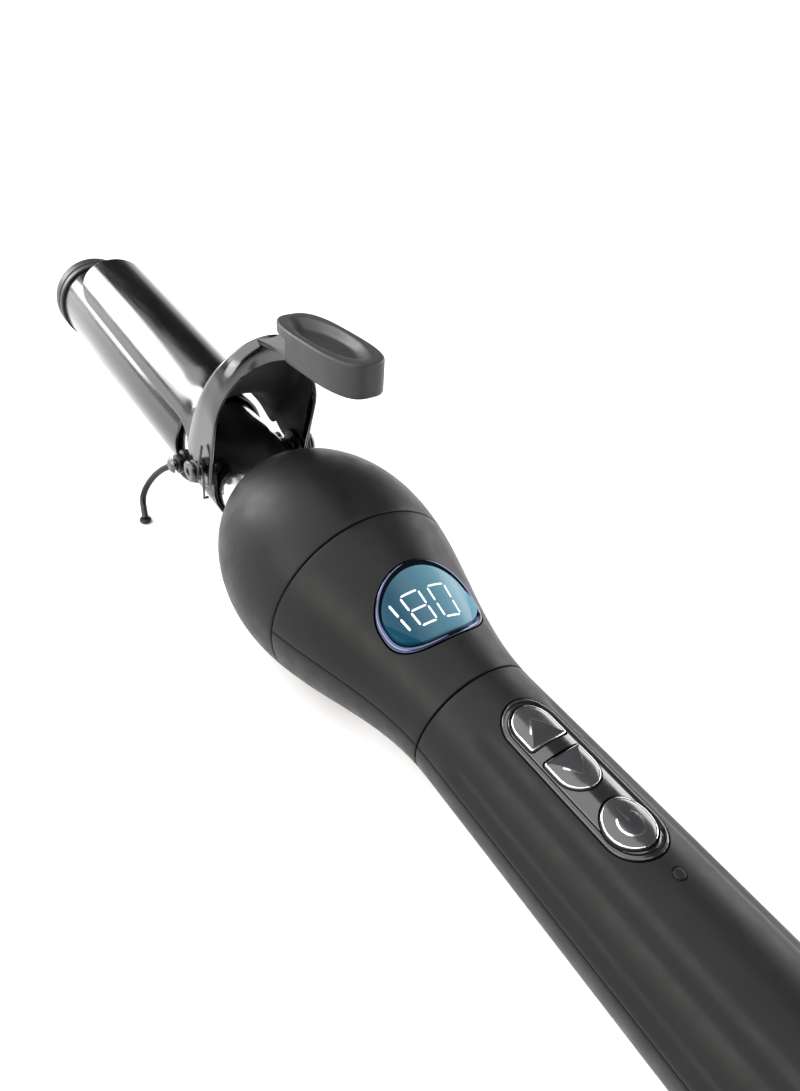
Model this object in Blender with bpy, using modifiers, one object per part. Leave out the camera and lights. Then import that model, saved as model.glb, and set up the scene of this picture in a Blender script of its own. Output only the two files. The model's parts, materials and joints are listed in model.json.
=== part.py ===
"""Curling iron with a sprung clamp, a flip stand and a digital handle.

Everything hangs on one empty, iron_axis, which lies on the barrel's centre line at the seam
between the nose and the control housing.  +X runs to the cool tip, +Y to the left, +Z up.
The iron stands on the underside of its nose and the two feet of its stand.
"""

import math

import bmesh
import bpy
from mathutils import Matrix, Vector

MM = 0.001
GAP = 0.3 * MM
LINE_UP = Vector((0, 0, 1))

# Barrel, neck and cool tip (x measured from the nose seam, towards the tip)
BARREL_RADIUS = 13.2 * MM
BARREL_WALL = 0.8 * MM
BARREL_ROOT_X = 76 * MM
BARREL_END_X = 172.5 * MM
NECK_RADIUS = 11.7 * MM
NECK_WALL = 1.0 * MM
NECK_REAR_X = 30 * MM
NECK_FRONT_X = 84 * MM
TIP_RADIUS = 13.9 * MM
TIP_END_X = 183 * MM

# Heater inside the barrel
HEATER_GAP = 3.0 * MM
HEATER_REAR_X = 88 * MM
HEATER_FRONT_X = 150 * MM

# Body of revolution: nose, control housing and handle
BULB_RADIUS = 25.2 * MM
BULB_PEAK_X = 13 * MM
BULB_NOSE_LENGTH = 34 * MM
NOSE_MOUTH_RADIUS = 12.1 * MM
WAIST_RADIUS = 14.0 * MM
WAIST_X = -42 * MM
HANDLE_TAPER = 0.012
SHELL_WALL = 2.0 * MM
HOUSING_REAR_X = -39.3 * MM
HANDLE_REAR_X = -148 * MM
CAP_REAR_X = -153 * MM
GLAND_REAR_X = -160 * MM
SPLIT_Z = 1.0 * MM

# Display
DISPLAY_X = -21 * MM
DISPLAY_HALF_LENGTH = 8.8 * MM
DISPLAY_HALF_WIDTH = 11.5 * MM
BEZEL_RIM = 1.1 * MM

# Buttons
PANEL_FRONT_X = -47.3 * MM
PANEL_REAR_X = -82.0 * MM
PANEL_HALF_WIDTH = 5.8 * MM
BUTTON_HALF_WIDTH = 4.3 * MM
BUTTON_UP_X = (-57.2 * MM, -48.9 * MM)
BUTTON_DOWN_X = (-67.8 * MM, -59.9 * MM)
POWER_X = -75.5 * MM
POWER_RADIUS = 4.7 * MM
BUTTON_FLOOR_Z = 11.0 * MM
LED_X = -85.6 * MM

# Control board
BOARD_FRONT_X = -12 * MM
BOARD_REAR_X = -102 * MM
BOARD_HALF_WIDTH = 8.5 * MM
BOARD_Z = 6.0 * MM
BOARD_THICKNESS = 1.6 * MM

# Clamp
PIVOT_X = 56 * MM
PIVOT_Z = 5 * MM
SHEET = 0.9 * MM
PLATE_RADIUS = 12.5 * MM
PLATE_HALF_ANGLE = math.radians(76)
PLATE_REAR_X = 74 * MM
PLATE_FRONT_X = 156 * MM
PLATE_AXIS_Z = 5.9 * MM
PLATE_RISE = 0.035
HOOP_HALF_WIDTH = 14.1 * MM
# Arches of the hoop from the plate to its rear lip, in mm: half width, top z, shoulder z, foot z,
# foot x, top x
HOOP_ARCHES = (
    (13.1, 26.5, 14.0, 8.0, 67.0, 57.5),
    (13.8, 36.0, 20.0, 6.0, 65.5, 52.5),
    (14.1, 42.3, 24.0, 4.5, 63.0, 48.5),
    (14.1, 42.8, 23.5, 4.5, 58.5, 46.6),
    (14.1, 41.3, 22.5, 4.5, 54.5, 45.0),
    (14.1, 38.0, 21.0, 4.5, 52.0, 44.4),
)
PIVOT_HOLE = 1.7 * MM
LEVER_TILT = math.radians(6)
LEVER_ORIGIN = (37.7 * MM, 0, 44.9 * MM)
LEVER_LENGTH = 32.4 * MM
LEVER_HEIGHT = 7.2 * MM
TAB_TILT = math.radians(12)
TAB_ORIGIN = (37.7 * MM, 0, 43.76 * MM)
TAB_SCREW_X = -13 * MM

# Stand
STAND_X = 71 * MM
STAND_Z = -2.5 * MM
STAND_WIRE = 0.9 * MM
STAND_BAIL_RADIUS = 14.5 * MM

AXIS_X = -(TIP_END_X + GLAND_REAR_X) / 2
AXIS_Z = BULB_RADIUS


# ---------------------------------------------------------------- scene set-up

def clear_scene():
    for item in list(bpy.data.objects):
        bpy.data.objects.remove(item, do_unlink=True)


def new_collection(name):
    collection = bpy.data.collections.new(name)
    bpy.context.scene.collection.children.link(collection)
    return collection


def make_material(name, colour, roughness, metallic=0.0):
    made = bpy.data.materials.new(name)
    made.use_nodes = True
    shader = made.node_tree.nodes["Principled BSDF"]
    shader.inputs["Base Color"].default_value = (*colour, 1)
    shader.inputs["Roughness"].default_value = roughness
    shader.inputs["Metallic"].default_value = metallic
    return made


def make_empty(name, location, parent=None):
    empty = bpy.data.objects.new(name, None)
    empty.empty_display_size = 10 * MM
    empty.location = location
    empty.parent = parent
    PARTS.objects.link(empty)
    return empty


def guide(name, x, z):
    """An empty on a joint's axis, whose children keep coordinates of the iron's axis."""
    return make_empty(name, (x, 0, z), ROOT)


def add(name, mesh, material, parent=None):
    """Link a mesh as a sub-part, or as a hidden cutter when it has no material."""
    made = bpy.data.objects.new(name, mesh)
    made.parent = parent or ROOT
    if parent:
        made.matrix_parent_inverse = Matrix.Translation(-parent.location)
    if material:
        mesh.materials.append(material)
        PARTS.objects.link(made)
    else:
        CUTTERS.objects.link(made)
        made.hide_render = True
        made.display_type = "WIRE"
    return made


# ---------------------------------------------------------------- shapes

def turned(name, outline, material, steps=28, closed=True, parent=None):
    """Turn an outline of (radius, x) points about the barrel's line."""
    mesh = bpy.data.meshes.new(name)
    count = len(outline)
    edges = [(i, i + 1) for i in range(count - 1)]
    if closed:
        edges.append((count - 1, 0))
    mesh.from_pydata([(radius, 0, x) for radius, x in outline], edges, [])
    made = add(name, mesh, material, parent)
    made.rotation_euler = (0, math.pi / 2, 0)
    screw = made.modifiers.new("turn", "SCREW")
    screw.axis = "Z"
    screw.steps = steps
    screw.render_steps = steps
    screw.use_merge_vertices = True
    screw.merge_threshold = 0.00001
    screw.use_smooth_shade = True
    return made


def cylinder(name, radius, low, high, material, segments=24, parent=None):
    """A round bar between two points."""
    mesh = bpy.data.meshes.new(name)
    low = Vector(low)
    along = Vector(high) - low
    body = bmesh.new()
    bmesh.ops.create_cone(body, cap_ends=True, segments=segments, radius1=radius, radius2=radius,
                          depth=along.length)
    turn = LINE_UP.rotation_difference(along).to_matrix().to_4x4()
    body.transform(Matrix.Translation(low + along / 2) @ turn)
    body.to_mesh(mesh)
    body.free()
    mesh.shade_smooth()
    mesh.set_sharp_from_angle(angle=math.radians(40))
    return add(name, mesh, material, parent)


def box(name, low, high, material, parent=None):
    mesh = bpy.data.meshes.new(name)
    low = Vector(low)
    size = Vector(high) - low
    body = bmesh.new()
    bmesh.ops.create_cube(body, size=1)
    body.transform(Matrix.Translation(low + size / 2) @ Matrix.Diagonal((*size, 1)))
    body.to_mesh(mesh)
    body.free()
    return add(name, mesh, material, parent)


def mesh_from_curve(curve, name):
    """Mesh of a curve's evaluated shape, with its caps welded on."""
    holder = bpy.data.objects.new(name, curve)
    CUTTERS.objects.link(holder)
    graph = bpy.context.evaluated_depsgraph_get()
    mesh = bpy.data.meshes.new_from_object(holder.evaluated_get(graph))
    body = bmesh.new()
    body.from_mesh(mesh)
    bmesh.ops.remove_doubles(body, verts=body.verts, dist=0.000001)
    body.to_mesh(mesh)
    body.free()
    bpy.data.objects.remove(holder, do_unlink=True)
    return mesh


def prism(name, outline, low, high, material, parent=None, side=False):
    """Extrude an outline between two heights: (x, y) up Z, or (x, z) across Y when side."""
    curve = bpy.data.curves.new(name, "CURVE")
    curve.dimensions = "2D"
    curve.fill_mode = "BOTH"
    curve.extrude = (high - low) / 2
    spline = curve.splines.new("POLY")
    spline.points.add(len(outline) - 1)
    for point, place in zip(spline.points, outline):
        point.co = (*place, 0, 1)
    spline.use_cyclic_u = True
    mesh = mesh_from_curve(curve, name)
    mesh.transform(Matrix.Translation((0, 0, (low + high) / 2)))
    if side:
        mesh.transform(Matrix.Rotation(math.pi / 2, 4, "X"))
        mesh.transform(Matrix.Diagonal((1, -1, 1, 1)))
        mesh.flip_normals()
    return add(name, mesh, material, parent)


def wire(name, points, radius, material, parent=None):
    """A bent wire through the points, as a closed mesh."""
    curve = bpy.data.curves.new(name, "CURVE")
    curve.dimensions = "3D"
    curve.bevel_depth = radius
    curve.bevel_resolution = 2
    curve.use_fill_caps = True
    spline = curve.splines.new("POLY")
    spline.points.add(len(points) - 1)
    for point, place in zip(spline.points, points):
        point.co = (*place, 1)
    mesh = mesh_from_curve(curve, name)
    mesh.shade_smooth()
    return add(name, mesh, material, parent)


def boolean(target, tool, operation="DIFFERENCE"):
    change = target.modifiers.new(operation.lower(), "BOOLEAN")
    change.operation = operation
    change.solver = "EXACT"
    change.object = tool
    return target


def smooth_route(places, per_span=3):
    """Points on a Catmull-Rom curve through the places."""
    padded = [places[0], *places, places[-1]]
    points = []
    for before, start, end, after in zip(padded, padded[1:], padded[2:], padded[3:]):
        before, start, end, after = (Vector(place) for place in (before, start, end, after))
        for step in range(per_span):
            t = step / per_span
            points.append(0.5 * (2 * start + (end - before) * t
                                 + (2 * before - 5 * start + 4 * end - after) * t ** 2
                                 + (3 * start - before - 3 * end + after) * t ** 3))
    points.append(Vector(places[-1]))
    return points


def spread(start, end, count):
    return [start + (end - start) * i / (count - 1) for i in range(count)]


# ---------------------------------------------------------------- the body's outline

def body_radius(x):
    """Outer radius of nose, housing and handle at x."""
    if x > BULB_PEAK_X:
        return BULB_RADIUS * math.sqrt(1 - ((x - BULB_PEAK_X) / BULB_NOSE_LENGTH) ** 2)
    if x > WAIST_X:
        part = math.sin(math.pi / 2 * (x - WAIST_X) / (BULB_PEAK_X - WAIST_X)) ** 2
        return WAIST_RADIUS + (BULB_RADIUS - WAIST_RADIUS) * part
    return WAIST_RADIUS + HANDLE_TAPER * (WAIST_X - x)


def sleeve(name, front, rear, outer, inner, material, count=8, **options):
    """A ring that follows the body's surface, with its outer and inner skins offset from it."""
    stations = spread(front, rear, count)
    skin = [(body_radius(x) + outer, x) for x in stations]
    lining = [(body_radius(x) + inner, x) for x in reversed(stations)]
    return turned(name, skin + lining, material, **options)


def core(name, front, rear, offset, count=6):
    """A cutter that fills the body out to an offset from its surface."""
    stations = spread(front, rear, count)
    skin = [(body_radius(x) + offset, x) for x in stations]
    return turned(name, [(0, front), *skin, (0, rear)], None, closed=False)


def display_outline(inset):
    """D shape of the display: a half ellipse towards the tip, nearly square behind."""
    length = DISPLAY_HALF_LENGTH - inset
    width = DISPLAY_HALF_WIDTH - inset
    squareness = 0.75
    points = []
    count = 32
    for i in range(count):
        angle = 2 * math.pi * i / count
        forward = math.cos(angle)
        across = math.sin(angle)
        if forward < -0.001:
            forward = -abs(forward) ** squareness
            across = math.copysign(abs(across) ** squareness, across)
        points.append((DISPLAY_X + length * forward, width * across))
    return points


def slot_outline(front, rear, half_width, round_front=True, round_rear=True, steps=8):
    """A bar from front to rear, with a half circle on each end that is round."""
    points = []
    for end, turn, is_round in ((front, -math.pi / 2, round_front), (rear, math.pi / 2, round_rear)):
        side = 1 if end == front else -1
        if not is_round:
            points += [(end, -side * half_width), (end, side * half_width)]
            continue
        centre = end - side * half_width
        for i in range(steps + 1):
            angle = turn + math.pi * i / steps
            points.append((centre + half_width * math.cos(angle), half_width * math.sin(angle)))
    return points


def circle_outline(x, radius, steps=24):
    angles = [2 * math.pi * i / steps for i in range(steps)]
    return [(x + radius * math.cos(angle), radius * math.sin(angle)) for angle in angles]


# ---------------------------------------------------------------- barrel

def build_barrel():
    inner = BARREL_RADIUS - BARREL_WALL
    turned("barrel_tube", [(BARREL_RADIUS, BARREL_END_X), (BARREL_RADIUS, BARREL_ROOT_X),
                           (inner, BARREL_ROOT_X), (inner, BARREL_END_X)], GUNMETAL, steps=36)
    turned("barrel_neck", [(NECK_RADIUS, NECK_FRONT_X), (NECK_RADIUS, NECK_REAR_X),
                           (NECK_RADIUS - NECK_WALL, NECK_REAR_X),
                           (NECK_RADIUS - NECK_WALL, NECK_FRONT_X)], BRIGHT_STEEL)
    build_cool_tip(inner)


def build_cool_tip(barrel_bore):
    shoulder = BARREL_END_X + GAP
    spigot = barrel_bore - GAP
    edge = 5 * MM
    dome = [(TIP_RADIUS - edge + edge * math.sin(angle), TIP_END_X - edge + edge * math.cos(angle))
            for angle in spread(0, math.pi / 2, 5)]
    recess = TIP_END_X - 2.6 * MM
    outline = [(1.6 * MM, recess), (3.3 * MM, recess), (3.3 * MM, TIP_END_X), *dome,
               (TIP_RADIUS, shoulder), (spigot, shoulder), (spigot, shoulder - 8 * MM),
               (spigot - 1.5 * MM, shoulder - 8 * MM), (spigot - 1.5 * MM, recess - 3 * MM),
               (1.6 * MM, recess - 3 * MM)]
    turned("cool_tip", outline, TIP_PLASTIC)
    screw_end = HEATER_FRONT_X - 7 * MM
    head = recess + GAP
    turned("tip_screw", [(0, head + 1.5 * MM), (2 * MM, head + 1.3 * MM), (2.8 * MM, head + 0.6 * MM),
                         (2.8 * MM, head), (1.2 * MM, head), (1.2 * MM, screw_end), (0, screw_end)],
           BRIGHT_STEEL, steps=14, closed=False)


def build_heater():
    radius = BARREL_RADIUS - BARREL_WALL - GAP
    flat = HEATER_GAP / 2
    for name, side in (("heater_block_upper", 1), ("heater_block_lower", -1)):
        block = cylinder(name, radius, (HEATER_REAR_X, 0, 0), (HEATER_FRONT_X, 0, 0), CAST_METAL, 36)
        reach = side * 20 * MM
        low, high = sorted((side * flat, reach))
        keep = box(name + "_half", (HEATER_REAR_X - MM, -20 * MM, low),
                   (HEATER_FRONT_X + MM, 20 * MM, high), None)
        boolean(block, keep, "INTERSECT")
    plate = flat - GAP
    box("ptc_heater", (92 * MM, -8 * MM, -plate), (138 * MM, 8 * MM, plate), CERAMIC)
    bead = cylinder("thermistor", MM, (112 * MM, 10 * MM, 0), (118 * MM, 10 * MM, 0), GLASS, 12)
    bevel = bead.modifiers.new("round ends", "BEVEL")
    bevel.width = 0.4 * MM
    bevel.segments = 2


def build_leads():
    """Wires from the heater and its sensor, through the neck, to the front of the board."""
    board_edge = BOARD_FRONT_X + GAP
    for name, side in (("heater_lead_left", 1), ("heater_lead_right", -1)):
        route = [(92 * MM - GAP, side * 4 * MM, 0), (60 * MM, side * 4 * MM, 0),
                 (28 * MM, side * 4.5 * MM, MM), (8 * MM, side * 5 * MM, 4.5 * MM),
                 (-4 * MM, side * 5 * MM, 6.6 * MM), (board_edge, side * 5 * MM, 6.8 * MM)]
        wire(name, smooth_route(route), 0.8 * MM, RED_WIRE if side > 0 else BLACK_WIRE)
    route = [(112 * MM - GAP, 10 * MM, 0), (90 * MM, 9.6 * MM, 0), (78 * MM, 8 * MM, 0),
             (28 * MM, 7.6 * MM, MM), (8 * MM, 8 * MM, 4.5 * MM), (-4 * MM, 8 * MM, 6.6 * MM),
             (board_edge, 8 * MM, 6.8 * MM)]
    wire("thermistor_lead", smooth_route(route), 0.5 * MM, WHITE_WIRE)


def build_barrel_mount():
    """Heat-resistant ring that carries the neck inside the nose."""
    bore = NECK_RADIUS + GAP
    front, back = 37.5 * MM, 24 * MM
    turned("barrel_mount", [(13.6 * MM, front), (13.6 * MM, back + 2.5 * MM),
                            (19.5 * MM, back + 2.5 * MM), (19.5 * MM, back), (bore, back),
                            (bore, front)], BROWN_RESIN)


# ---------------------------------------------------------------- shells

def build_nose():
    """Bulb-shaped shell from the seam to the mouth that the neck comes out of."""
    reach = math.sqrt(1 - (NOSE_MOUTH_RADIUS / BULB_RADIUS) ** 2)
    seam = GAP / 2
    outer = []
    for angle in spread(math.asin(reach), 0, 8):
        outer.append((BULB_RADIUS * math.cos(angle), BULB_PEAK_X + BULB_NOSE_LENGTH * math.sin(angle)))
    outer += [(body_radius(x), x) for x in (6.5 * MM, seam)]
    inner_radius = BULB_RADIUS - SHELL_WALL
    inner_reach = math.sqrt(1 - (NOSE_MOUTH_RADIUS / inner_radius) ** 2)
    inner_length = BULB_NOSE_LENGTH - SHELL_WALL
    lining = [(body_radius(seam) - SHELL_WALL, seam)]
    for angle in spread(0, math.asin(inner_reach), 6):
        lining.append((inner_radius * math.cos(angle), BULB_PEAK_X + inner_length * math.sin(angle)))
    turned("nose_housing", outer + lining, SOFT_BLACK)


def half_cutters(name, front, rear):
    """Boxes that keep the part of a shell above and below the split line."""
    reach = 30 * MM
    seam = GAP / 2
    upper = box(name + "_keep_top", (rear - MM, -reach, SPLIT_Z + seam), (front + MM, reach, reach), None)
    lower = box(name + "_keep_bottom", (rear - MM, -reach, -reach), (front + MM, reach, SPLIT_Z - seam),
                None)
    return upper, lower


def screw_post(name, x, y, lower_shell, upper_shell, envelope, recess_z):
    """Posts in both shells, and the screw that pulls them together."""
    seam = GAP / 2
    reach = 24 * MM
    posts = (("_post_low", lower_shell, -reach, SPLIT_Z - seam),
             ("_post_high", upper_shell, SPLIT_Z + seam, reach))
    for suffix, shell, low, high in posts:
        post = cylinder(name + suffix, 3.3 * MM, (x, y, low), (x, y, high), None, 12)
        boolean(post, envelope, "INTERSECT")
        boolean(shell, post, "UNION")
    tip = 7 * MM
    bore = cylinder(name + "_bore", 1.5 * MM, (x, y, recess_z - MM), (x, y, tip + GAP), None, 10)
    recess = cylinder(name + "_recess", 2.5 * MM, (x, y, -reach), (x, y, recess_z), None, 14)
    boolean(lower_shell, bore)
    boolean(lower_shell, recess)
    boolean(upper_shell, bore)
    head = recess_z - GAP
    screw = turned(name, [(0, tip), (1.2 * MM, tip), (1.2 * MM, head), (2.2 * MM, head),
                          (2.2 * MM, head - 0.8 * MM), (1.4 * MM, head - 1.4 * MM),
                          (0, head - 1.4 * MM)], BRIGHT_STEEL, steps=12, closed=False)
    screw.rotation_euler = (0, 0, 0)
    screw.location = (x, y, 0)


def build_housing():
    seam = GAP / 2
    front, rear = -seam, HOUSING_REAR_X
    keeps = half_cutters("housing", front, rear)
    shells = []
    for name, keep in zip(("housing_top", "housing_bottom"), keeps):
        shell = sleeve(name, front, rear, 0, -SHELL_WALL, SOFT_BLACK, count=8)
        shells.append(boolean(shell, keep, "INTERSECT"))
    top, bottom = shells
    opening = prism("display_opening", display_outline(-GAP), 5 * MM, 30 * MM, None)
    boolean(top, opening)
    envelope = core("housing_envelope", front, rear, -0.6 * MM, 8)
    for name, side in (("housing_screw_left", 1), ("housing_screw_right", -1)):
        screw_post(name, -9 * MM, side * 13.2 * MM, bottom, top, envelope, -12 * MM)


def build_handle():
    front, rear = HOUSING_REAR_X - GAP, HANDLE_REAR_X
    keeps = half_cutters("handle", front, rear)
    shells = []
    for name, keep in zip(("handle_top", "handle_bottom"), keeps):
        shell = sleeve(name, front, rear, 0, -SHELL_WALL, SOFT_BLACK, count=5)
        shells.append(boolean(shell, keep, "INTERSECT"))
    top, bottom = shells
    opening = prism("panel_opening",
                    slot_outline(PANEL_FRONT_X + GAP, PANEL_REAR_X - GAP, PANEL_HALF_WIDTH + GAP),
                    5 * MM, 30 * MM, None)
    boolean(top, opening)
    boolean(top, cylinder("led_opening", 1.2 * MM, (LED_X, 0, 5 * MM), (LED_X, 0, 30 * MM), None, 16))
    envelope = core("handle_envelope", front, rear, -0.6 * MM, 4)
    for name, x in (("handle_screw_front", -109 * MM), ("handle_screw_rear", -122 * MM)):
        screw_post(name, x, 0, bottom, top, envelope, -10.5 * MM)


def build_end():
    """Rear cap, the swivelling cord gland and its sliding contacts."""
    rim = body_radius(HANDLE_REAR_X)
    spigot = rim - SHELL_WALL - GAP
    face = HANDLE_REAR_X - GAP
    inside = HANDLE_REAR_X + 4 * MM
    edge = 3 * MM
    bore = 6.2 * MM
    round_edge = [(rim - edge + edge * math.cos(angle), CAP_REAR_X + edge - edge * math.sin(angle))
                  for angle in spread(0, math.pi / 2, 4)]
    turned("end_cap", [(spigot, inside), (spigot, face), (rim, face), *round_edge,
                       (bore, CAP_REAR_X), (bore, inside)], SOFT_BLACK)
    shaft = bore - GAP
    flange = inside + GAP
    carrier_front = -127 * MM
    cord_bore = 3.2 * MM
    gland = PIVOTS["gland"]
    turned("swivel_gland", [(4.4 * MM, carrier_front), (4.4 * MM, flange + 2 * MM),
                            (7.6 * MM, flange + 2 * MM), (7.6 * MM, flange), (shaft, flange),
                            (shaft, CAP_REAR_X - 3 * MM), (4.8 * MM, GLAND_REAR_X),
                            (cord_bore, GLAND_REAR_X), (cord_bore, carrier_front)],
           BLACK_PLASTIC, steps=24, parent=gland)
    for name, x in (("front", -130 * MM), ("rear", -136 * MM)):
        half = 1.4 * MM
        turned("contact_ring_" + name, [(6.2 * MM, x + half), (6.2 * MM, x - half),
                                        (4.7 * MM, x - half), (4.7 * MM, x + half)], BRASS,
               steps=20, parent=gland)
        box("contact_brush_" + name, (x - MM, -2 * MM, 6.5 * MM), (x + MM, 2 * MM, 9.4 * MM), BRASS)
        side = 1 if name == "front" else -1
        route = [(x + 2 * MM, side * 1.1 * MM, 8.4 * MM), (x + 4 * MM, side * 4 * MM, 8.5 * MM),
                 (-118 * MM, side * 6.2 * MM, 7.6 * MM), (-108 * MM, side * 6 * MM, 6.8 * MM),
                 (BOARD_REAR_X - GAP, side * 5 * MM, 6.8 * MM)]
        wire("mains_lead_" + name, smooth_route(route), 0.7 * MM, BLACK_WIRE)


# ---------------------------------------------------------------- controls

def build_display():
    front, rear = DISPLAY_X + 10 * MM, DISPLAY_X - 10 * MM
    rim = prism("bezel_outline", display_outline(0), 5 * MM, 30 * MM, None)
    glass = prism("bezel_inside", display_outline(BEZEL_RIM), 4 * MM, 31 * MM, None)
    bezel = sleeve("display_bezel", front, rear, 0.35 * MM, -1.6 * MM, CHROME_TRIM, count=5)
    boolean(bezel, rim, "INTERSECT")
    boolean(bezel, glass)
    pane = prism("window_outline", display_outline(BEZEL_RIM + GAP), 5 * MM, 30 * MM, None)
    window = sleeve("display_window", front, rear, 0.1 * MM, -1.4 * MM, WINDOW_BLUE, count=5)
    boolean(window, pane, "INTERSECT")
    box("lcd_module", (-27 * MM, -7.5 * MM, 7.9 * MM), (-14 * MM, 7.5 * MM, 11.5 * MM), WINDOW_BLUE)


def build_buttons():
    front, rear = PANEL_FRONT_X + 2 * MM, PANEL_REAR_X - 2 * MM
    panel = sleeve("button_panel", front, rear, -0.15 * MM, -1.7 * MM, GLOSS_BLACK, count=3)
    slot = prism("panel_outline", slot_outline(PANEL_FRONT_X, PANEL_REAR_X, PANEL_HALF_WIDTH),
                 5 * MM, 30 * MM, None)
    boolean(panel, slot, "INTERSECT")
    crown = core("button_crown", front, rear, 0.2 * MM, 4)
    shapes = {
        "up": (slot_outline(BUTTON_UP_X[1], BUTTON_UP_X[0], BUTTON_HALF_WIDTH, round_rear=False),
               slot_outline(BUTTON_UP_X[1] + GAP, BUTTON_UP_X[0] - GAP, BUTTON_HALF_WIDTH + GAP,
                            round_rear=False)),
        "down": (slot_outline(BUTTON_DOWN_X[1], BUTTON_DOWN_X[0], BUTTON_HALF_WIDTH, round_front=False),
                 slot_outline(BUTTON_DOWN_X[1] + GAP, BUTTON_DOWN_X[0] - GAP, BUTTON_HALF_WIDTH + GAP,
                              round_front=False)),
        "power": (circle_outline(POWER_X, POWER_RADIUS), circle_outline(POWER_X, POWER_RADIUS + GAP)),
    }
    board_top = BOARD_Z + BOARD_THICKNESS
    for name, (outline, hole) in shapes.items():
        boolean(panel, prism("hole_" + name, hole, 5 * MM, 30 * MM, None))
        button = prism("button_" + name, outline, BUTTON_FLOOR_Z, 20 * MM, GLOSS_BLACK,
                       parent=PIVOTS[name])
        boolean(button, crown, "INTERSECT")
        x = BUTTON_CENTRES[name]
        half = 3 * MM
        box("switch_" + name, (x - half, -half, board_top + GAP), (x + half, half, board_top + 2.8 * MM),
            BRIGHT_STEEL)


def build_board():
    box("control_board", (BOARD_REAR_X, -BOARD_HALF_WIDTH, BOARD_Z),
        (BOARD_FRONT_X, BOARD_HALF_WIDTH, BOARD_Z + BOARD_THICKNESS), BOARD_GREEN)
    cylinder("led_light_pipe", 0.9 * MM, (LED_X, 0, BOARD_Z + BOARD_THICKNESS + GAP),
             (LED_X, 0, body_radius(LED_X) + 0.1 * MM), CLEAR_PLASTIC, 16)


# ---------------------------------------------------------------- clamp

def plate_point(u, x, half_angle):
    """Point of the clamp's curved plate: u runs from -1 at one edge to 1 at the other."""
    angle = u * half_angle
    centre = PLATE_AXIS_Z + PLATE_RISE * (x - PIVOT_X)
    return Vector((x, PLATE_RADIUS * math.sin(angle), centre + PLATE_RADIUS * math.cos(angle)))


def hoop_point(u, half_width, top_z, shoulder_z, foot_z, foot_x, top_x):
    """Point of a hoop that leans back: straight legs under a half ellipse."""
    bend = 0.62
    if abs(u) <= bend:
        angle = u / bend * math.pi / 2
        y = half_width * math.sin(angle)
        z = shoulder_z + (top_z - shoulder_z) * math.cos(angle)
    else:
        y = math.copysign(half_width, u)
        z = shoulder_z + (foot_z - shoulder_z) * (abs(u) - bend) / (1 - bend)
    x = foot_x + (top_x - foot_x) * (z - foot_z) / (top_z - foot_z)
    return Vector((x, y, z))


def clamp_rows(columns):
    """Rows of the clamp's outer skin, from the tongue to the rear lip of the hoop."""
    tongue = 9 * MM
    rows = []
    for angle in spread(0, math.pi / 2, 7):
        x = PLATE_FRONT_X - tongue + tongue * math.cos(angle)
        spreading = 0.45 + 0.55 * math.sin(angle)
        rows.append([plate_point(u, x, PLATE_HALF_ANGLE * spreading) for u in columns])
    for x in spread(PLATE_FRONT_X - tongue, PLATE_REAR_X, 6)[1:]:
        rows.append([plate_point(u, x, PLATE_HALF_ANGLE) for u in columns])
    arches = [[hoop_point(u, *(MM * size for size in shape)) for u in columns] for shape in HOOP_ARCHES]
    sag = Vector((-2.5, 0, -2)) * MM
    rows.append([(low + high) / 2 + sag for low, high in zip(rows[-1], arches[0])])
    return rows + arches


def build_clamp():
    pivot = PIVOTS["clamp"]
    columns = spread(-1, 1, 21)
    rows = clamp_rows(columns)
    mesh = bpy.data.meshes.new("clamp_plate")
    body = bmesh.new()
    grid = [[body.verts.new(point) for point in row] for row in rows]
    for row, following in zip(grid, grid[1:]):
        for i in range(len(columns) - 1):
            body.faces.new((row[i], row[i + 1], following[i + 1], following[i]))
    body.to_mesh(mesh)
    body.free()
    mesh.shade_smooth()
    plate = add("clamp_plate", mesh, GUNMETAL, pivot)
    thick = plate.modifiers.new("sheet", "SOLIDIFY")
    thick.thickness = SHEET
    thick.offset = -1
    outer_face = HOOP_HALF_WIDTH + 0.05 * MM
    inner_face = HOOP_HALF_WIDTH - SHEET - 0.05 * MM
    ear_radius = 4.6 * MM
    bottom = [(PIVOT_X - ear_radius * math.cos(angle), PIVOT_Z - ear_radius * math.sin(angle))
              for angle in spread(0, math.pi, 13)]
    ear_outline = [(52 * MM, 10 * MM), *bottom, (60 * MM, 10 * MM)]
    for suffix, low, high in (("left", inner_face, outer_face), ("right", -outer_face, -inner_face)):
        ear = prism("clamp_ear_" + suffix, ear_outline, low, high, None, pivot, side=True)
        boolean(plate, ear, "UNION")
    tab = box("clamp_tab", (-17 * MM, -3.2 * MM, 0), (9.5 * MM, 3.2 * MM, MM), None, pivot)
    boolean(plate, tab_frame(tab), "UNION")
    reach = 20 * MM
    boolean(plate, cylinder("clamp_pivot_hole", PIVOT_HOLE, (PIVOT_X, -reach, PIVOT_Z),
                            (PIVOT_X, reach, PIVOT_Z), None, 20, pivot))
    boolean(plate, tab_frame(cylinder("clamp_tab_hole", 1.1 * MM, (TAB_SCREW_X, 0, -MM),
                                      (TAB_SCREW_X, 0, 2 * MM), None, 16, pivot)))


def lever_frame(item):
    """Move a mesh made in the lever's own tilted frame to its place above the hoop."""
    item.data.transform(Matrix.Translation(LEVER_ORIGIN) @ Matrix.Rotation(LEVER_TILT, 4, "Y"))
    return item


def tab_frame(item):
    """Move a mesh made in the frame of the hoop's tab, which carries the lever, to its place."""
    item.data.transform(Matrix.Translation(TAB_ORIGIN) @ Matrix.Rotation(TAB_TILT, 4, "Y"))
    return item


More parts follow.
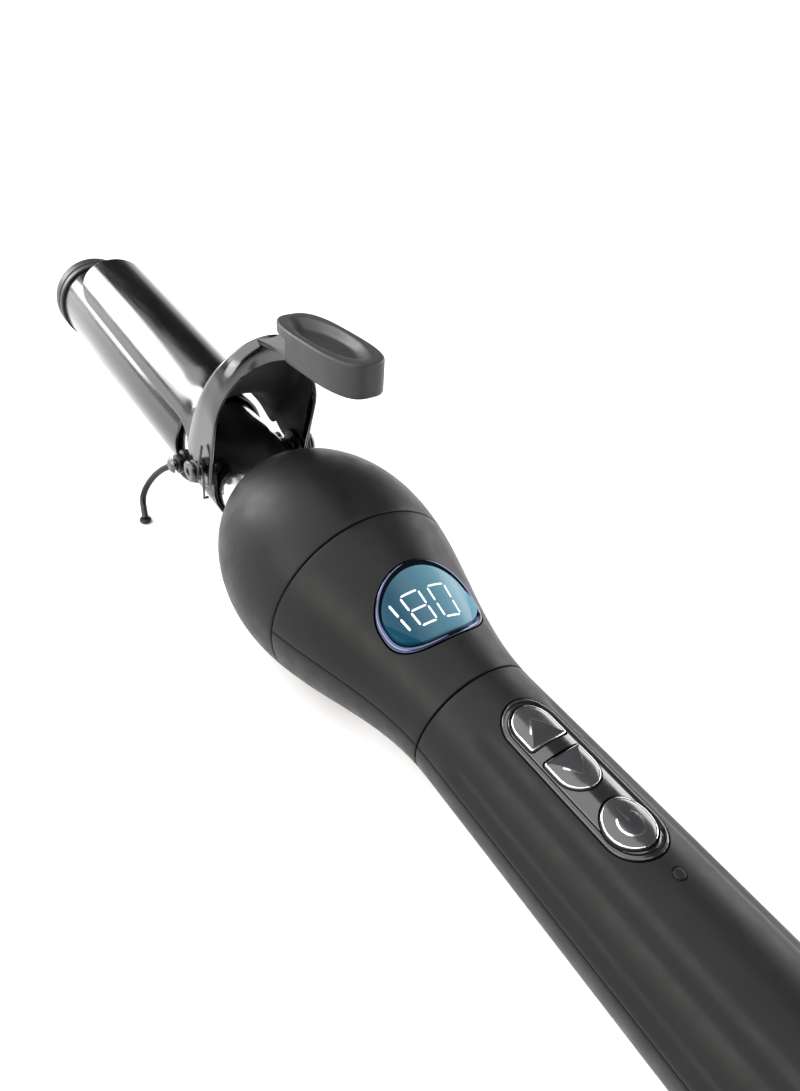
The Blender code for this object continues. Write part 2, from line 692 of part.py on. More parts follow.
def lever_outline(inset):
    """Plan of the thumb lever: an oval with nearly straight sides."""
    half_length = LEVER_LENGTH / 2
    points = []
    count = 26
    squareness = 0.75
    for i in range(count):
        angle = 2 * math.pi * i / count
        along = math.copysign(abs(math.cos(angle)) ** squareness, math.cos(angle))
        across = math.copysign(abs(math.sin(angle)) ** squareness, math.sin(angle))
        points.append(((half_length - inset) * along - half_length, (6 * MM - inset) * across))
    return points


def build_lever():
    pivot = PIVOTS["clamp"]
    wall = 1.3 * MM
    slab = 4.2 * MM
    lip_end = -8.5 * MM
    lever = lever_frame(prism("thumb_lever", lever_outline(0), 0, LEVER_HEIGHT, LEVER_PLASTIC, pivot))
    scoop = bpy.data.meshes.new("lever_scoop")
    body = bmesh.new()
    bmesh.ops.create_uvsphere(body, u_segments=20, v_segments=10, radius=1)
    body.transform(Matrix.Translation((-LEVER_LENGTH / 2, 0, LEVER_HEIGHT + 0.8 * MM))
                   @ Matrix.Diagonal((13 * MM, 4.8 * MM, 2.7 * MM, 1)))
    body.to_mesh(scoop)
    body.free()
    boolean(lever, lever_frame(add("lever_scoop", scoop, None, pivot)))
    pocket = prism("lever_pocket", lever_outline(wall), -MM, slab, None, pivot)
    boolean(lever, lever_frame(pocket))
    under_lip = box("lever_lip_cut", (lip_end, -8 * MM, -MM), (2 * MM, 8 * MM, 5 * MM), None, pivot)
    boolean(lever, lever_frame(under_lip))
    post = cylinder("lever_post", 2.4 * MM, (TAB_SCREW_X, 0, 1.3 * MM), (TAB_SCREW_X, 0, 4.4 * MM), None,
                    20, pivot)
    boolean(lever, tab_frame(post), "UNION")
    bore = cylinder("lever_bore", 1.1 * MM, (TAB_SCREW_X, 0, 0), (TAB_SCREW_X, 0, 4 * MM), None, 16, pivot)
    boolean(lever, tab_frame(bore))
    tip = 3.7 * MM
    head = -GAP
    screw = turned("lever_screw", [(0, tip), (0.8 * MM, tip), (0.8 * MM, head), (2 * MM, head),
                                   (1.7 * MM, head - 0.8 * MM), (0, head - 0.8 * MM)], BRIGHT_STEEL,
                   steps=12, closed=False, parent=pivot)
    screw.rotation_euler = (0, TAB_TILT, 0)
    screw.location = Vector(TAB_ORIGIN) + Matrix.Rotation(TAB_TILT, 4, "Y") @ Vector((TAB_SCREW_X, 0, 0))


# ---------------------------------------------------------------- bracket, pivots and springs

def build_bracket():
    """U-shaped steel cradle round the neck, with ears for the clamp and the stand."""
    skin = NECK_RADIUS + GAP + SHEET
    rear, front = 50.5 * MM, 75 * MM
    top = 10 * MM
    section = [(skin, top)]
    section += [(skin * math.cos(angle), -skin * math.sin(angle)) for angle in spread(0, math.pi, 17)]
    section += [(-skin, top)]
    mesh = bpy.data.meshes.new("pivot_bracket")
    body = bmesh.new()
    rows = [[body.verts.new((x, y, z)) for y, z in section] for x in (rear, front)]
    for i in range(len(section) - 1):
        body.faces.new((rows[0][i], rows[1][i], rows[1][i + 1], rows[0][i + 1]))
    body.to_mesh(mesh)
    body.free()
    bracket = add("pivot_bracket", mesh, BLACK_STEEL)
    thick = bracket.modifiers.new("sheet", "SOLIDIFY")
    thick.thickness = SHEET
    thick.offset = -1
    ear = 4.4 * MM
    tail = 3.4 * MM
    outline = [(rear + 0.2 * MM, -20 * MM), (front - 0.4 * MM, -20 * MM)]
    outline += [(STAND_X + tail * math.cos(angle), STAND_Z + tail * math.sin(angle))
                for angle in spread(0, math.pi * 0.7, 8)]
    outline += [(PIVOT_X + ear * math.cos(angle), PIVOT_Z + ear * math.sin(angle))
                for angle in spread(0, math.pi, 13)]
    boolean(bracket, prism("bracket_side", outline, -20 * MM, 20 * MM, None, side=True), "INTERSECT")
    reach = 20 * MM
    for name, x, z, radius in (("pivot", PIVOT_X, PIVOT_Z, PIVOT_HOLE), ("stand", STAND_X, STAND_Z, 1.5 * MM)):
        boolean(bracket, cylinder("bracket_hole_" + name, radius, (x, -reach, z), (x, reach, z), None, 20))
    return bracket


def across(item, x, z, side):
    """Lay a part turned about Z on a line across the iron, pointing out on one side."""
    item.rotation_euler = (-side * math.pi / 2, 0, 0)
    item.location = (x, 0, z)


def build_pivots(bracket):
    neck = bpy.data.objects["barrel_neck"]
    for name, side in (("left", 1), ("right", -1)):
        head = 17.0 * MM
        screw = turned("pivot_screw_" + name, [(0, head + 0.9 * MM), (2 * MM, head + 0.8 * MM),
                                               (3 * MM, head + 0.3 * MM), (3 * MM, head),
                                               (1.4 * MM, head), (1.4 * MM, 11.6 * MM),
                                               (0, 11.6 * MM)], BRIGHT_STEEL, steps=14, closed=False)
        across(screw, PIVOT_X, PIVOT_Z, side)
        face = 16.3 * MM
        rivet = turned("stand_rivet_" + name, [(0, face + 0.9 * MM), (1.6 * MM, face + 0.7 * MM),
                                               (2.4 * MM, face), (1.2 * MM, face),
                                               (1.2 * MM, 12.1 * MM), (0, 12.1 * MM)],
                       BRIGHT_STEEL, steps=14, closed=False)
        across(rivet, STAND_X, STAND_Z, side)
        build_spring("clamp_spring_" + name, side)
    screw_x = 55 * MM
    bore = cylinder("bracket_screw_hole", 1.5 * MM, (screw_x, 0, -20 * MM), (screw_x, 0, -8 * MM), None, 16)
    boolean(bracket, bore)
    boolean(neck, bore)
    under = -(NECK_RADIUS + SHEET + 2 * GAP)
    screw = turned("bracket_screw", [(0, -9 * MM), (1.2 * MM, -9 * MM), (1.2 * MM, under),
                                     (2.4 * MM, under), (2 * MM, under - MM), (0, under - MM)],
                   BRIGHT_STEEL, steps=12, closed=False)
    screw.rotation_euler = (0, 0, 0)
    screw.location = (screw_x, 0, 0)


def build_spring(name, side):
    """Torsion spring on the clamp's screw: one leg on the bracket, one on the clamp."""
    coil_radius = 2.5 * MM
    turns = 2
    start, end = 14.85 * MM, 16.4 * MM
    per_turn = 8
    steps = per_turn * turns
    points = [(PIVOT_X - coil_radius, side * 13.7 * MM, -2.5 * MM),
              (PIVOT_X - coil_radius, side * start, -2.5 * MM)]
    for i in range(steps + 1):
        angle = math.pi - 2 * math.pi * i / per_turn
        points.append((PIVOT_X + coil_radius * math.cos(angle), side * (start + (end - start) * i / steps),
                       PIVOT_Z + coil_radius * math.sin(angle)))
    points.append((PIVOT_X - coil_radius, side * 14.9 * MM, 13.5 * MM))
    wire(name, points, 0.35 * MM, BRIGHT_STEEL)


def stand_arch(steps):
    """Centre line of the stand's bail: it hugs the barrel from one eye round to the other."""
    reach = math.radians(80)
    points = []
    for angle in spread(-reach, reach, steps):
        x = STAND_X + 5 * MM * math.cos(angle) ** 2
        points.append((x, STAND_BAIL_RADIUS * math.sin(angle), -STAND_BAIL_RADIUS * math.cos(angle)))
    return points


def build_stand():
    """Wire stand: two splayed legs with flattened feet, and a bail that stops on the barrel."""
    pivot = PIVOTS["stand"]
    arm = 14.2 * MM
    stand = wire("stand", stand_arch(17), STAND_WIRE, BLACK_STEEL, pivot)
    foot_top = -AXIS_Z + 0.9 * MM
    for name, side in (("left", 1), ("right", -1)):
        route = [(STAND_X, side * arm, STAND_Z), (77.5 * MM, side * 16.8 * MM, -7.8 * MM),
                 (82.6 * MM, side * 19 * MM, -14.5 * MM), (84 * MM, side * 21 * MM, -20.5 * MM),
                 (79.5 * MM, side * 22.4 * MM, foot_top - 0.3 * MM)]
        tools = (wire("stand_leg_" + name, smooth_route(route, 3), STAND_WIRE, None, pivot),
                 cylinder("stand_eye_" + name, 2.6 * MM, (STAND_X, side * 13.2 * MM, STAND_Z),
                          (STAND_X, side * 15.2 * MM, STAND_Z), None, 14, pivot),
                 cylinder("stand_foot_" + name, 1.7 * MM, (79 * MM, side * 22.6 * MM, -AXIS_Z),
                          (79 * MM, side * 22.6 * MM, foot_top), None, 16, pivot))
        for tool in tools:
            boolean(stand, tool, "UNION")
    reach = 20 * MM
    boolean(stand, cylinder("stand_hole", 1.5 * MM, (STAND_X, -reach, STAND_Z), (STAND_X, reach, STAND_Z),
                            None, 14, pivot))


# ---------------------------------------------------------------- make everything

clear_scene()
PARTS = new_collection("curling_iron")
CUTTERS = new_collection("cutters")
ROOT = make_empty("iron_axis", (AXIS_X, 0, AXIS_Z))

GUNMETAL = make_material("gunmetal chrome", (0.16, 0.16, 0.17), 0.15, 1.0)
BRIGHT_STEEL = make_material("bright steel", (0.75, 0.76, 0.78), 0.25, 1.0)
CAST_METAL = make_material("cast aluminium", (0.6, 0.6, 0.6), 0.5, 1.0)
TIP_PLASTIC = make_material("tip plastic", (0.04, 0.04, 0.042), 0.45)
CERAMIC = make_material("heater ceramic", (0.8, 0.78, 0.72), 0.6)
GLASS = make_material("sensor glass", (0.6, 0.2, 0.08), 0.1)
RED_WIRE = make_material("red wire", (0.5, 0.02, 0.02), 0.5)
BLACK_WIRE = make_material("black wire", (0.02, 0.02, 0.02), 0.5)
WHITE_WIRE = make_material("white wire", (0.8, 0.8, 0.8), 0.5)
BROWN_RESIN = make_material("brown resin", (0.12, 0.05, 0.025), 0.6)
BLACK_STEEL = make_material("black steel", (0.03, 0.03, 0.03), 0.35, 1.0)
LEVER_PLASTIC = make_material("lever plastic", (0.06, 0.06, 0.062), 0.45)
SOFT_BLACK = make_material("soft-touch black", (0.035, 0.035, 0.036), 0.55)
BLACK_PLASTIC = make_material("black plastic", (0.02, 0.02, 0.02), 0.4)
BRASS = make_material("brass", (0.7, 0.5, 0.2), 0.3, 1.0)
CHROME_TRIM = make_material("dark chrome trim", (0.1, 0.12, 0.2), 0.08, 1.0)
WINDOW_BLUE = make_material("display blue", (0.02, 0.16, 0.25), 0.1)
GLOSS_BLACK = make_material("gloss black", (0.01, 0.01, 0.01), 0.08)
BOARD_GREEN = make_material("board green", (0.02, 0.15, 0.05), 0.5)
CLEAR_PLASTIC = make_material("clear plastic", (0.7, 0.7, 0.7), 0.1)

BUTTON_CENTRES = {"up": -53.5 * MM, "down": -63.5 * MM, "power": POWER_X}
PIVOTS = {name: guide("button_guide_" + name, x, BUTTON_FLOOR_Z) for name, x in BUTTON_CENTRES.items()}
PIVOTS["clamp"] = guide("clamp_pivot", PIVOT_X, PIVOT_Z)
PIVOTS["stand"] = guide("stand_pivot", STAND_X, STAND_Z)
PIVOTS["gland"] = guide("gland_swivel", HANDLE_REAR_X, 0)

build_barrel()
build_heater()
build_leads()
build_barrel_mount()
build_nose()
build_housing()
build_handle()
build_end()
build_display()
build_buttons()
build_board()
build_clamp()
build_lever()
build_pivots(build_bracket())
build_stand()
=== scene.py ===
"""Looks of the curling iron: smooth skins, controls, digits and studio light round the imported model.

Shapes are worked out in millimetres about the barrel's line.  x is measured from the seam between
the nose and the housing, towards the cool tip; y is to the left and z up.  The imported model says
where that seam and that line are.
"""

import json
from math import asin, copysign, cos, pi, radians, sin, sqrt, tan

import bmesh
import bpy
from mathutils import Matrix, Vector
from mathutils.bvhtree import BVHTree
from mathutils.interpolate import poly_3d_calc


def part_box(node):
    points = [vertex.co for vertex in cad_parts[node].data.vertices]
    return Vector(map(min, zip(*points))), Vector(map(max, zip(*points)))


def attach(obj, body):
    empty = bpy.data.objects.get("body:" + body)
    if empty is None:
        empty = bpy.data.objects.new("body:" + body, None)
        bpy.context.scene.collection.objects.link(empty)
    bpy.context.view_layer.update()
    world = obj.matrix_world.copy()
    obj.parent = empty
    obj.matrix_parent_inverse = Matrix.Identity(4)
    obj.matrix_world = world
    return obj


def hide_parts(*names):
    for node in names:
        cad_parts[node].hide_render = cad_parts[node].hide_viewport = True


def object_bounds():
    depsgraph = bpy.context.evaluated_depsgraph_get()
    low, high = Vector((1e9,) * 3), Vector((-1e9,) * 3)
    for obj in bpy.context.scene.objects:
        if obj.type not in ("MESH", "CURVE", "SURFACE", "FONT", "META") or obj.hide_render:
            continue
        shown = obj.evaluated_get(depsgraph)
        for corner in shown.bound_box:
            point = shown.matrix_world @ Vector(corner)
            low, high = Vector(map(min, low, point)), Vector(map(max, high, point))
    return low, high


MM = 0.001

# Camera, in metres and radians
CAMERA_PLACE = (-0.1147, 0.0802, 0.1474)
CAMERA_YAW = -0.7081
CAMERA_PITCH = 0.6791
CAMERA_ROLL = 0.1535
CAMERA_LENS = 25.84

# Body of revolution
BULB_RADIUS = 25.2
BULB_PEAK_X = 13.0
BULB_NOSE_LENGTH = 34.0
MOUTH_RADIUS = 12.1
WAIST_RADIUS = 14.0
WAIST_X = -42.0
HANDLE_TAPER = 0.012
SHELL_WALL = 2.0
HOUSING_REAR_X = -39.3
HANDLE_FRONT_X = -39.6
HANDLE_REAR_X = -148.0
CAP_REAR_X = -153.0
GLAND_REAR_X = -160.0
SPLIT_Z = 1.0
SEAM = 0.15
EDGE = 0.3
# Screw recesses on the underside: x, y, z of the floor
WELL_RADIUS = 2.5
HOUSING_WELLS = ((-9.0, 13.2, -12.0), (-9.0, -13.2, -12.0))
HANDLE_WELLS = ((-109.0, 0, -10.5), (-122.0, 0, -10.5))

# Flutes along the handle
FLUTE_FRONT_X = -47.0
FLUTE_REAR_X = -140.0
FLUTE_ANGLES = (17, 54, 126, 163)
FLUTE_HALF_WIDTH = 2.5
FLUTE_DEPTH = 0.5

# Barrel
BARREL_RADIUS = 13.2
BARREL_WALL = 0.8
BARREL_ROOT_X = 76.0
BARREL_END_X = 172.5
NECK_RADIUS = 11.7
NECK_REAR_X = 30.0
NECK_FRONT_X = 84.0
TIP_RADIUS = 13.9
TIP_END_X = 183.0

# Display and controls
DISPLAY_X = -21.0
DISPLAY_HALF_LENGTH = 8.8
DISPLAY_HALF_WIDTH = 11.5
DISPLAY_SQUARENESS = 0.75
BEZEL_RIM = 1.1
WINDOW_Z = 14.6
DIGIT_STROKE = 0.2
DIGIT_LIFT = 0.17
DIGIT_DEPTH = 0.2
PANEL_FRONT_X = -47.3
PANEL_REAR_X = -82.0
PANEL_HALF_WIDTH = 5.8
BUTTON_HALF_WIDTH = 4.3
BUTTON_UP_X = (-57.2, -48.9)
BUTTON_DOWN_X = (-67.8, -59.9)
POWER_X = -75.5
POWER_RADIUS = 4.7
PANEL_FLOOR_Z = 11.8
BUTTON_FLOOR_Z = 11.0
BUTTON_GAP = 0.3
SIGN_LIFT = 0.24
SIGN_DEPTH = 0.15
LED_X = -85.6
LED_FLOOR_Z = 8.2
LED_RADIUS = 1.12
LED_HOLE = 1.2
# Heights between which a cutter passes through the body's top
CUT_LOW_Z = 5
CUT_HIGH_Z = 30

# Clamp
PIVOT_X = 56.0
PIVOT_Z = 5.0
PIVOT_HOLE = 1.7
SHEET = 0.9
PLATE_RADIUS = 12.5
PLATE_HALF_ANGLE = radians(76)
PLATE_REAR_X = 74.0
PLATE_FRONT_X = 156.0
PLATE_AXIS_Z = 5.9
PLATE_RISE = 0.035
EAR_RADIUS = 4.6
EAR_BLEND_Z = 10.0
HOOP_FOOT_Z = 4.5
HOOP_BEND = 0.62
CLAMP_MIDDLE = Vector((100, 0, 14))
# Arches of the hoop from the plate to its rear lip: half width, top z, shoulder z, foot z,
# foot x, top x
HOOP_ARCHES = (
    (13.1, 26.5, 14.0, 8.0, 67.0, 57.5),
    (13.8, 36.0, 20.0, 6.0, 65.5, 52.5),
    (14.1, 42.3, 24.0, 4.5, 63.0, 48.5),
    (14.1, 42.8, 23.5, 4.5, 58.5, 46.6),
    (14.1, 41.3, 22.5, 4.5, 54.5, 45.0),
    (14.1, 38.0, 21.0, 4.5, 52.0, 44.4),
)
LEVER_TILT = radians(6)
LEVER_ORIGIN = (37.7, 0, 44.9)
LEVER_LENGTH = 32.4
LEVER_HALF_WIDTH = 6.0
LEVER_HEIGHT = 7.2
LEVER_SQUARENESS = 0.66
LEVER_EDGE = 0.6
LEVER_SCOOP = 1.9
TAB_TILT = radians(12)
TAB_ORIGIN = (37.7, 0, 43.76)
TAB_SCREW_X = -13.0

# Stand and bracket
STAND_X = 71.0
STAND_Z = -2.5
STAND_WIRE = 0.9
STAND_HOLE = 1.5
STAND_BAIL_RADIUS = 14.5
STAND_ARM = 14.2
FOOT_X = 79
FOOT_Y = 22.6
BRACKET_REAR_X = 50.5
BRACKET_FRONT_X = 75.0
BRACKET_SCREW_X = 55.0
BRACKET_HOLE = 1.5
FLOOR_Z = -25.2


# ---- small helpers

def spread(start, end, count):
    return [start + (end - start) * i / (count - 1) for i in range(count)]


def smooth_route(places, per_span):
    """Points on a Catmull-Rom curve through the places."""
    padded = [places[0], *places, places[-1]]
    points = []
    for before, start, end, after in zip(padded, padded[1:], padded[2:], padded[3:]):
        before, start, end, after = (Vector(place) for place in (before, start, end, after))
        for step in range(per_span):
            t = step / per_span
            points.append(0.5 * (2 * start + (end - before) * t
                                 + (2 * before - 5 * start + 4 * end - after) * t ** 2
                                 + (3 * start - before - 3 * end + after) * t ** 3))
    points.append(Vector(places[-1]))
    return points


def fillet(corners, steps=5):
    """Round a closed outline: corners are (a, b, radius)."""
    points = []
    count = len(corners)
    for i, (a, b, radius) in enumerate(corners):
        here = Vector((a, b))
        if not radius:
            points.append((a, b))
            continue
        to_last = (Vector(corners[i - 1][:2]) - here).normalized()
        to_next = (Vector(corners[(i + 1) % count][:2]) - here).normalized()
        half = to_last.angle(to_next) / 2
        start = here + to_last * radius / tan(half)
        end = here + to_next * radius / tan(half)
        centre = here + (to_last + to_next).normalized() * radius / sin(half)
        for t in spread(0, 1, steps):
            point = centre + (start.lerp(end, t) - centre).normalized() * radius
            points.append((point.x, point.y))
    return points


def body_radius(x):
    """Outer radius of nose, housing and handle at x."""
    if x > BULB_PEAK_X:
        return BULB_RADIUS * sqrt(1 - ((x - BULB_PEAK_X) / BULB_NOSE_LENGTH) ** 2)
    if x > WAIST_X:
        part = sin(pi / 2 * (x - WAIST_X) / (BULB_PEAK_X - WAIST_X)) ** 2
        return WAIST_RADIUS + (BULB_RADIUS - WAIST_RADIUS) * part
    return WAIST_RADIUS + HANDLE_TAPER * (WAIST_X - x)


def top_z(x, y, lift=0):
    """Height of the body's upper surface over a point, raised by lift."""
    radius = body_radius(x) + lift
    return sqrt(max(radius * radius - y * y, 1))


# ---- meshes

def mesh_of(faces, sharp=35):
    """Closed mesh from lists of corner points, welded and facing out."""
    body = bmesh.new()
    seen = {}
    for face in faces:
        corners = []
        for point in face:
            key = tuple(round(value, 5) for value in point)
            if key not in seen:
                seen[key] = body.verts.new(point)
            if seen[key] not in corners:
                corners.append(seen[key])
        if len(corners) > 2:
            body.faces.new(corners)
    bmesh.ops.recalc_face_normals(body, faces=body.faces)
    mesh = bpy.data.meshes.new("shape")
    body.to_mesh(mesh)
    body.free()
    mesh.shade_smooth()
    mesh.set_sharp_from_angle(angle=radians(sharp))
    return mesh


def grid_faces(rows, wrap=False):
    """Quads between rows of points; wrap joins the last point of each row to its first."""
    faces = []
    for row, following in zip(rows, rows[1:]):
        count = len(row)
        for i in range(count if wrap else count - 1):
            j = (i + 1) % count
            faces.append((row[i], row[j], following[j], following[i]))
    return faces


def lathe(outline, steps=96, sharp=35):
    """Turn a closed outline of (x, radius) points about the barrel's line."""
    rows = []
    for i in range(steps + 1):
        angle = 2 * pi * (i % steps) / steps
        rows.append([(x, radius * cos(angle), radius * sin(angle)) for x, radius in outline])
    return mesh_of(grid_faces(rows, wrap=True), sharp)


def tube(path, radius, sides=16):
    """Round bar along a path, with closed ends."""
    rows = []
    normal = None
    for i, point in enumerate(path):
        ahead = Vector(path[min(i + 1, len(path) - 1)])
        behind = Vector(path[max(i - 1, 0)])
        along = (ahead - behind).normalized()
        if normal is None:
            normal = along.orthogonal().normalized()
        normal = (normal - along * normal.dot(along)).normalized()
        other = along.cross(normal)
        end = i in (0, len(path) - 1)
        for scale in ((0.6, 1) if i == 0 else (1, 0.6) if end else (1,)):
            shift = along * radius * 0.3 * (scale < 1) * (-1 if i == 0 else 1)
            rows.append([tuple(Vector(point) + shift + scale * radius
                               * (normal * cos(a) + other * sin(a)))
                         for a in spread(0, 2 * pi, sides + 1)[:-1]])
    return mesh_of(grid_faces(rows, wrap=True) + [rows[0], rows[-1]], 50)


def prism(outline, low, high):
    """Upright block over an (x, y) outline."""
    bottom = [(x, y, low) for x, y in outline]
    top = [(x, y, high) for x, y in outline]
    return mesh_of(grid_faces([bottom, top], wrap=True) + [bottom, top])


def side_prism(outline, low, high):
    """Block over an (x, z) outline, from low to high across the iron."""
    near = [(x, low, z) for x, z in outline]
    far = [(x, high, z) for x, z in outline]
    return mesh_of(grid_faces([near, far], wrap=True) + [near, far])


def cross_pin(x, z, radius, low, high):
    """Round bar lying across the iron."""
    return side_prism(circle_outline(x, radius, 32, z), low, high)


def joined(*meshes):
    """One mesh from several."""
    body = bmesh.new()
    for mesh in meshes:
        body.from_mesh(mesh)
    made = bpy.data.meshes.new("shape")
    body.to_mesh(made)
    body.free()
    made.shade_smooth()
    made.set_sharp_from_angle(angle=radians(35))
    return made


def upright(x, y=0):
    """Turns a lathed piece's own line up, at a place on the floor plan."""
    return Matrix.Translation((x, y, 0)) @ Matrix.Rotation(-pi / 2, 4, "Y")


def sideways(x, z, side):
    """Turns a lathed piece's own line to the left (side 1) or right (side -1)."""
    return Matrix.Translation((x, 0, z)) @ Matrix.Rotation(side * pi / 2, 4, "Z")


def circle_outline(x, radius, steps=64, y=0):
    angles = [2 * pi * i / steps for i in range(steps)]
    return [(x + radius * cos(angle), y + radius * sin(angle)) for angle in angles]


def rounded_box(angle, squareness):
    """Point of a unit oval whose sides straighten as squareness falls below 1."""
    return [copysign(abs(value) ** squareness, value) for value in (cos(angle), sin(angle))]


def merged(first, *others):
    """Add meshes to one whose shading is already set, keeping it."""
    items = [linked("temporary", mesh) for mesh in (first, *others)]
    with bpy.context.temp_override(active_object=items[0], selected_editable_objects=items,
                                   selected_objects=items):
        bpy.ops.object.join()
    mesh = items[0].data
    bpy.data.objects.remove(items[0], do_unlink=True)
    return mesh


def linked(name, data):
    """New object in the scene."""
    item = bpy.data.objects.new(name, data)
    bpy.context.scene.collection.objects.link(item)
    return item


def baked(item):
    """Mesh of an object with its modifiers applied; the object goes."""
    graph = bpy.context.evaluated_depsgraph_get()
    mesh = bpy.data.meshes.new_from_object(item.evaluated_get(graph))
    bpy.data.objects.remove(item, do_unlink=True)
    return mesh


def carved(mesh, *cutters, operation="DIFFERENCE"):
    """Cut a mesh with others, and keep the shading of its untouched skin."""
    item = linked("temporary", mesh)
    tools = [linked("temporary", cutter) for cutter in cutters]
    for tool in tools:
        change = item.modifiers.new("cut", "BOOLEAN")
        change.operation = operation
        change.solver = "EXACT"
        change.object = tool
    made = baked(item)
    for tool in tools:
        bpy.data.objects.remove(tool, do_unlink=True)
    copy_shading(mesh, made)
    return made


def copy_shading(source, target):
    """Give the target's corners the source's normals where its skin is the source's."""
    places = [vertex.co.copy() for vertex in source.vertices]
    corners = [list(face.vertices) for face in source.polygons]
    loops = [list(face.loop_indices) for face in source.polygons]
    tree = BVHTree.FromPolygons(places, corners)
    shading = source.corner_normals
    normals = [None] * len(target.loops)
    for face in target.polygons:
        for index in face.loop_indices:
            point = target.vertices[target.loops[index].vertex_index].co
            inner = point.lerp(face.center, 0.001)
            place, normal, found, distance = tree.find_nearest(inner)
            normals[index] = face.normal.copy()
            if found is None or distance > 0.01 or normal.dot(face.normal) < 0.95:
                continue
            weights = poly_3d_calc([places[i] for i in corners[found]], place)
            blend = Vector((0, 0, 0))
            for weight, loop in zip(weights, loops[found]):
                blend += shading[loop].vector * weight
            if blend.length > 0.5:
                normals[index] = blend.normalized()
    target.shade_smooth()
    target.normals_split_custom_set(normals)


def publish(name, mesh, look, node=None, body="body"):
    """Put a finished mesh into the scene as a piece that rides on a body and stands for a CAD node."""
    mesh.transform(Matrix.Scale(MM, 4))
    mesh.materials.clear()
    mesh.materials.append(LOOKS[look])
    mesh.name = name
    piece = linked(name, mesh)
    piece.location = HOME
    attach(piece, body)
    if node:
        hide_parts(node)
    return piece


# ---- materials

LOOKS = {}


class Nodes:
    """A new material in LOOKS, with short calls for the nodes used here."""

    def __init__(self, name):
        self.material = bpy.data.materials.new(name)
        LOOKS[name] = self.material
        self.material.use_nodes = True
        self.tree = self.material.node_tree
        self.shader = self.tree.nodes["Principled BSDF"]
        self.place = self.tree.nodes.new("ShaderNodeTexCoord").outputs["Object"]

    def link(self, source, target):
        self.tree.links.new(source, target)

    def feed(self, name, source):
        """Drive one of the shader's own sockets."""
        self.link(source, self.shader.inputs[name])

    def stretched(self, scale):
        mapping = self.tree.nodes.new("ShaderNodeMapping")
        mapping.inputs["Scale"].default_value = scale
        self.link(self.place, mapping.inputs["Vector"])
        return mapping.outputs["Vector"]

    def noise(self, scale, detail=3.0, stretch=None):
        node = self.tree.nodes.new("ShaderNodeTexNoise")
        node.inputs["Scale"].default_value = scale
        node.inputs["Detail"].default_value = detail
        self.link(self.stretched(stretch) if stretch else self.place, node.inputs["Vector"])
        return node.outputs["Fac"]

    def mapped(self, value, low, high, source_low=0.3, source_high=0.7):
        node = self.tree.nodes.new("ShaderNodeMapRange")
        node.inputs["From Min"].default_value = source_low
        node.inputs["From Max"].default_value = source_high
        node.inputs["To Min"].default_value = low
        node.inputs["To Max"].default_value = high
        self.link(value, node.inputs["Value"])
        return node.outputs["Result"]

    def blend(self, factor, first, second):
        node = self.tree.nodes.new("ShaderNodeMix")
        node.data_type = "RGBA"
        for socket, colour in ((6, first), (7, second)):
            if hasattr(colour, "links"):
                self.link(colour, node.inputs[socket])
            else:
                node.inputs[socket].default_value = (*colour, 1)
        self.link(factor, node.inputs[0])
        return node.outputs[2]

    def along(self, axis):
        node = self.tree.nodes.new("ShaderNodeSeparateXYZ")
        self.link(self.place, node.inputs[0])
        return node.outputs[axis]

    def bump(self, height, strength, distance):
        node = self.tree.nodes.new("ShaderNodeBump")
        node.inputs["Strength"].default_value = strength
        node.inputs["Distance"].default_value = distance * MM
        self.link(height, node.inputs["Height"])
        self.feed("Normal", node.outputs["Normal"])

    def set(self, **values):
        for name, value in values.items():
            self.shader.inputs[name.replace("_", " ")].default_value = value


def moulded(name, colour, roughness, grain=2500, grain_depth=0.01, shift=0.25, coat=0.0, shine=0.5):
    """Moulded plastic: fine texture, and colour and gloss that vary a little."""
    nodes = Nodes(name)
    darker = tuple(value * (1 - shift) for value in colour)
    lighter = tuple(value * (1 + shift) for value in colour)
    cloud = nodes.noise(60, 4)
    nodes.feed("Base Color", nodes.blend(nodes.mapped(cloud, 0, 1), darker, lighter))
    wear = nodes.noise(260, 2)
    nodes.feed("Roughness", nodes.mapped(wear, roughness - 0.05, roughness + 0.06))
    nodes.bump(nodes.noise(grain, 2), 0.35, grain_depth)
    nodes.set(Coat_Weight=coat, Coat_Roughness=0.08, Specular_IOR_Level=shine)


def metal(name, colour, roughness, stretch=(1, 1, 1), lines=900, depth=0.002, shift=0.08):
    """Metal with drawing or polishing lines and a faint change of tone."""
    nodes = Nodes(name)
    darker = tuple(value * (1 - shift) for value in colour)
    cloud = nodes.noise(45, 3)
    nodes.feed("Base Color", nodes.blend(nodes.mapped(cloud, 0, 1), darker, colour))
    streaks = nodes.noise(lines, 3, stretch)
    nodes.feed("Roughness", nodes.mapped(streaks, roughness * 0.75, roughness * 1.3))
    nodes.bump(streaks, 0.2, depth)
    nodes.set(Metallic=1.0)


def lit_window():
    """Blue display glass, lit from behind and a little cloudy, with painted light: deep teal on the left
    shading to paler on the right.
    """
    nodes = Nodes("window_blue")
    # Painted light: the colour, and the glow that follows it, ramps from deep teal on the left to paler on
    # the right.
    across = nodes.mapped(nodes.along("Y"), 1, 0, -DISPLAY_HALF_WIDTH * MM, 0.6 * DISPLAY_HALF_WIDTH * MM)
    base = nodes.blend(across, (0.002, 0.03, 0.055), (0.13, 0.26, 0.32))
    cloud = nodes.noise(90, 3)
    tinted = nodes.blend(nodes.mapped(cloud, 0, 0.15), base, (0.01, 0.08, 0.12))
    nodes.feed("Base Color", tinted)
    nodes.feed("Emission Color", tinted)
    nodes.feed("Roughness", nodes.mapped(nodes.noise(400, 2), 0.3, 0.38))
    nodes.set(Emission_Strength=0.3, Specular_IOR_Level=0.1, Coat_Weight=0.12, Coat_Roughness=0.1)


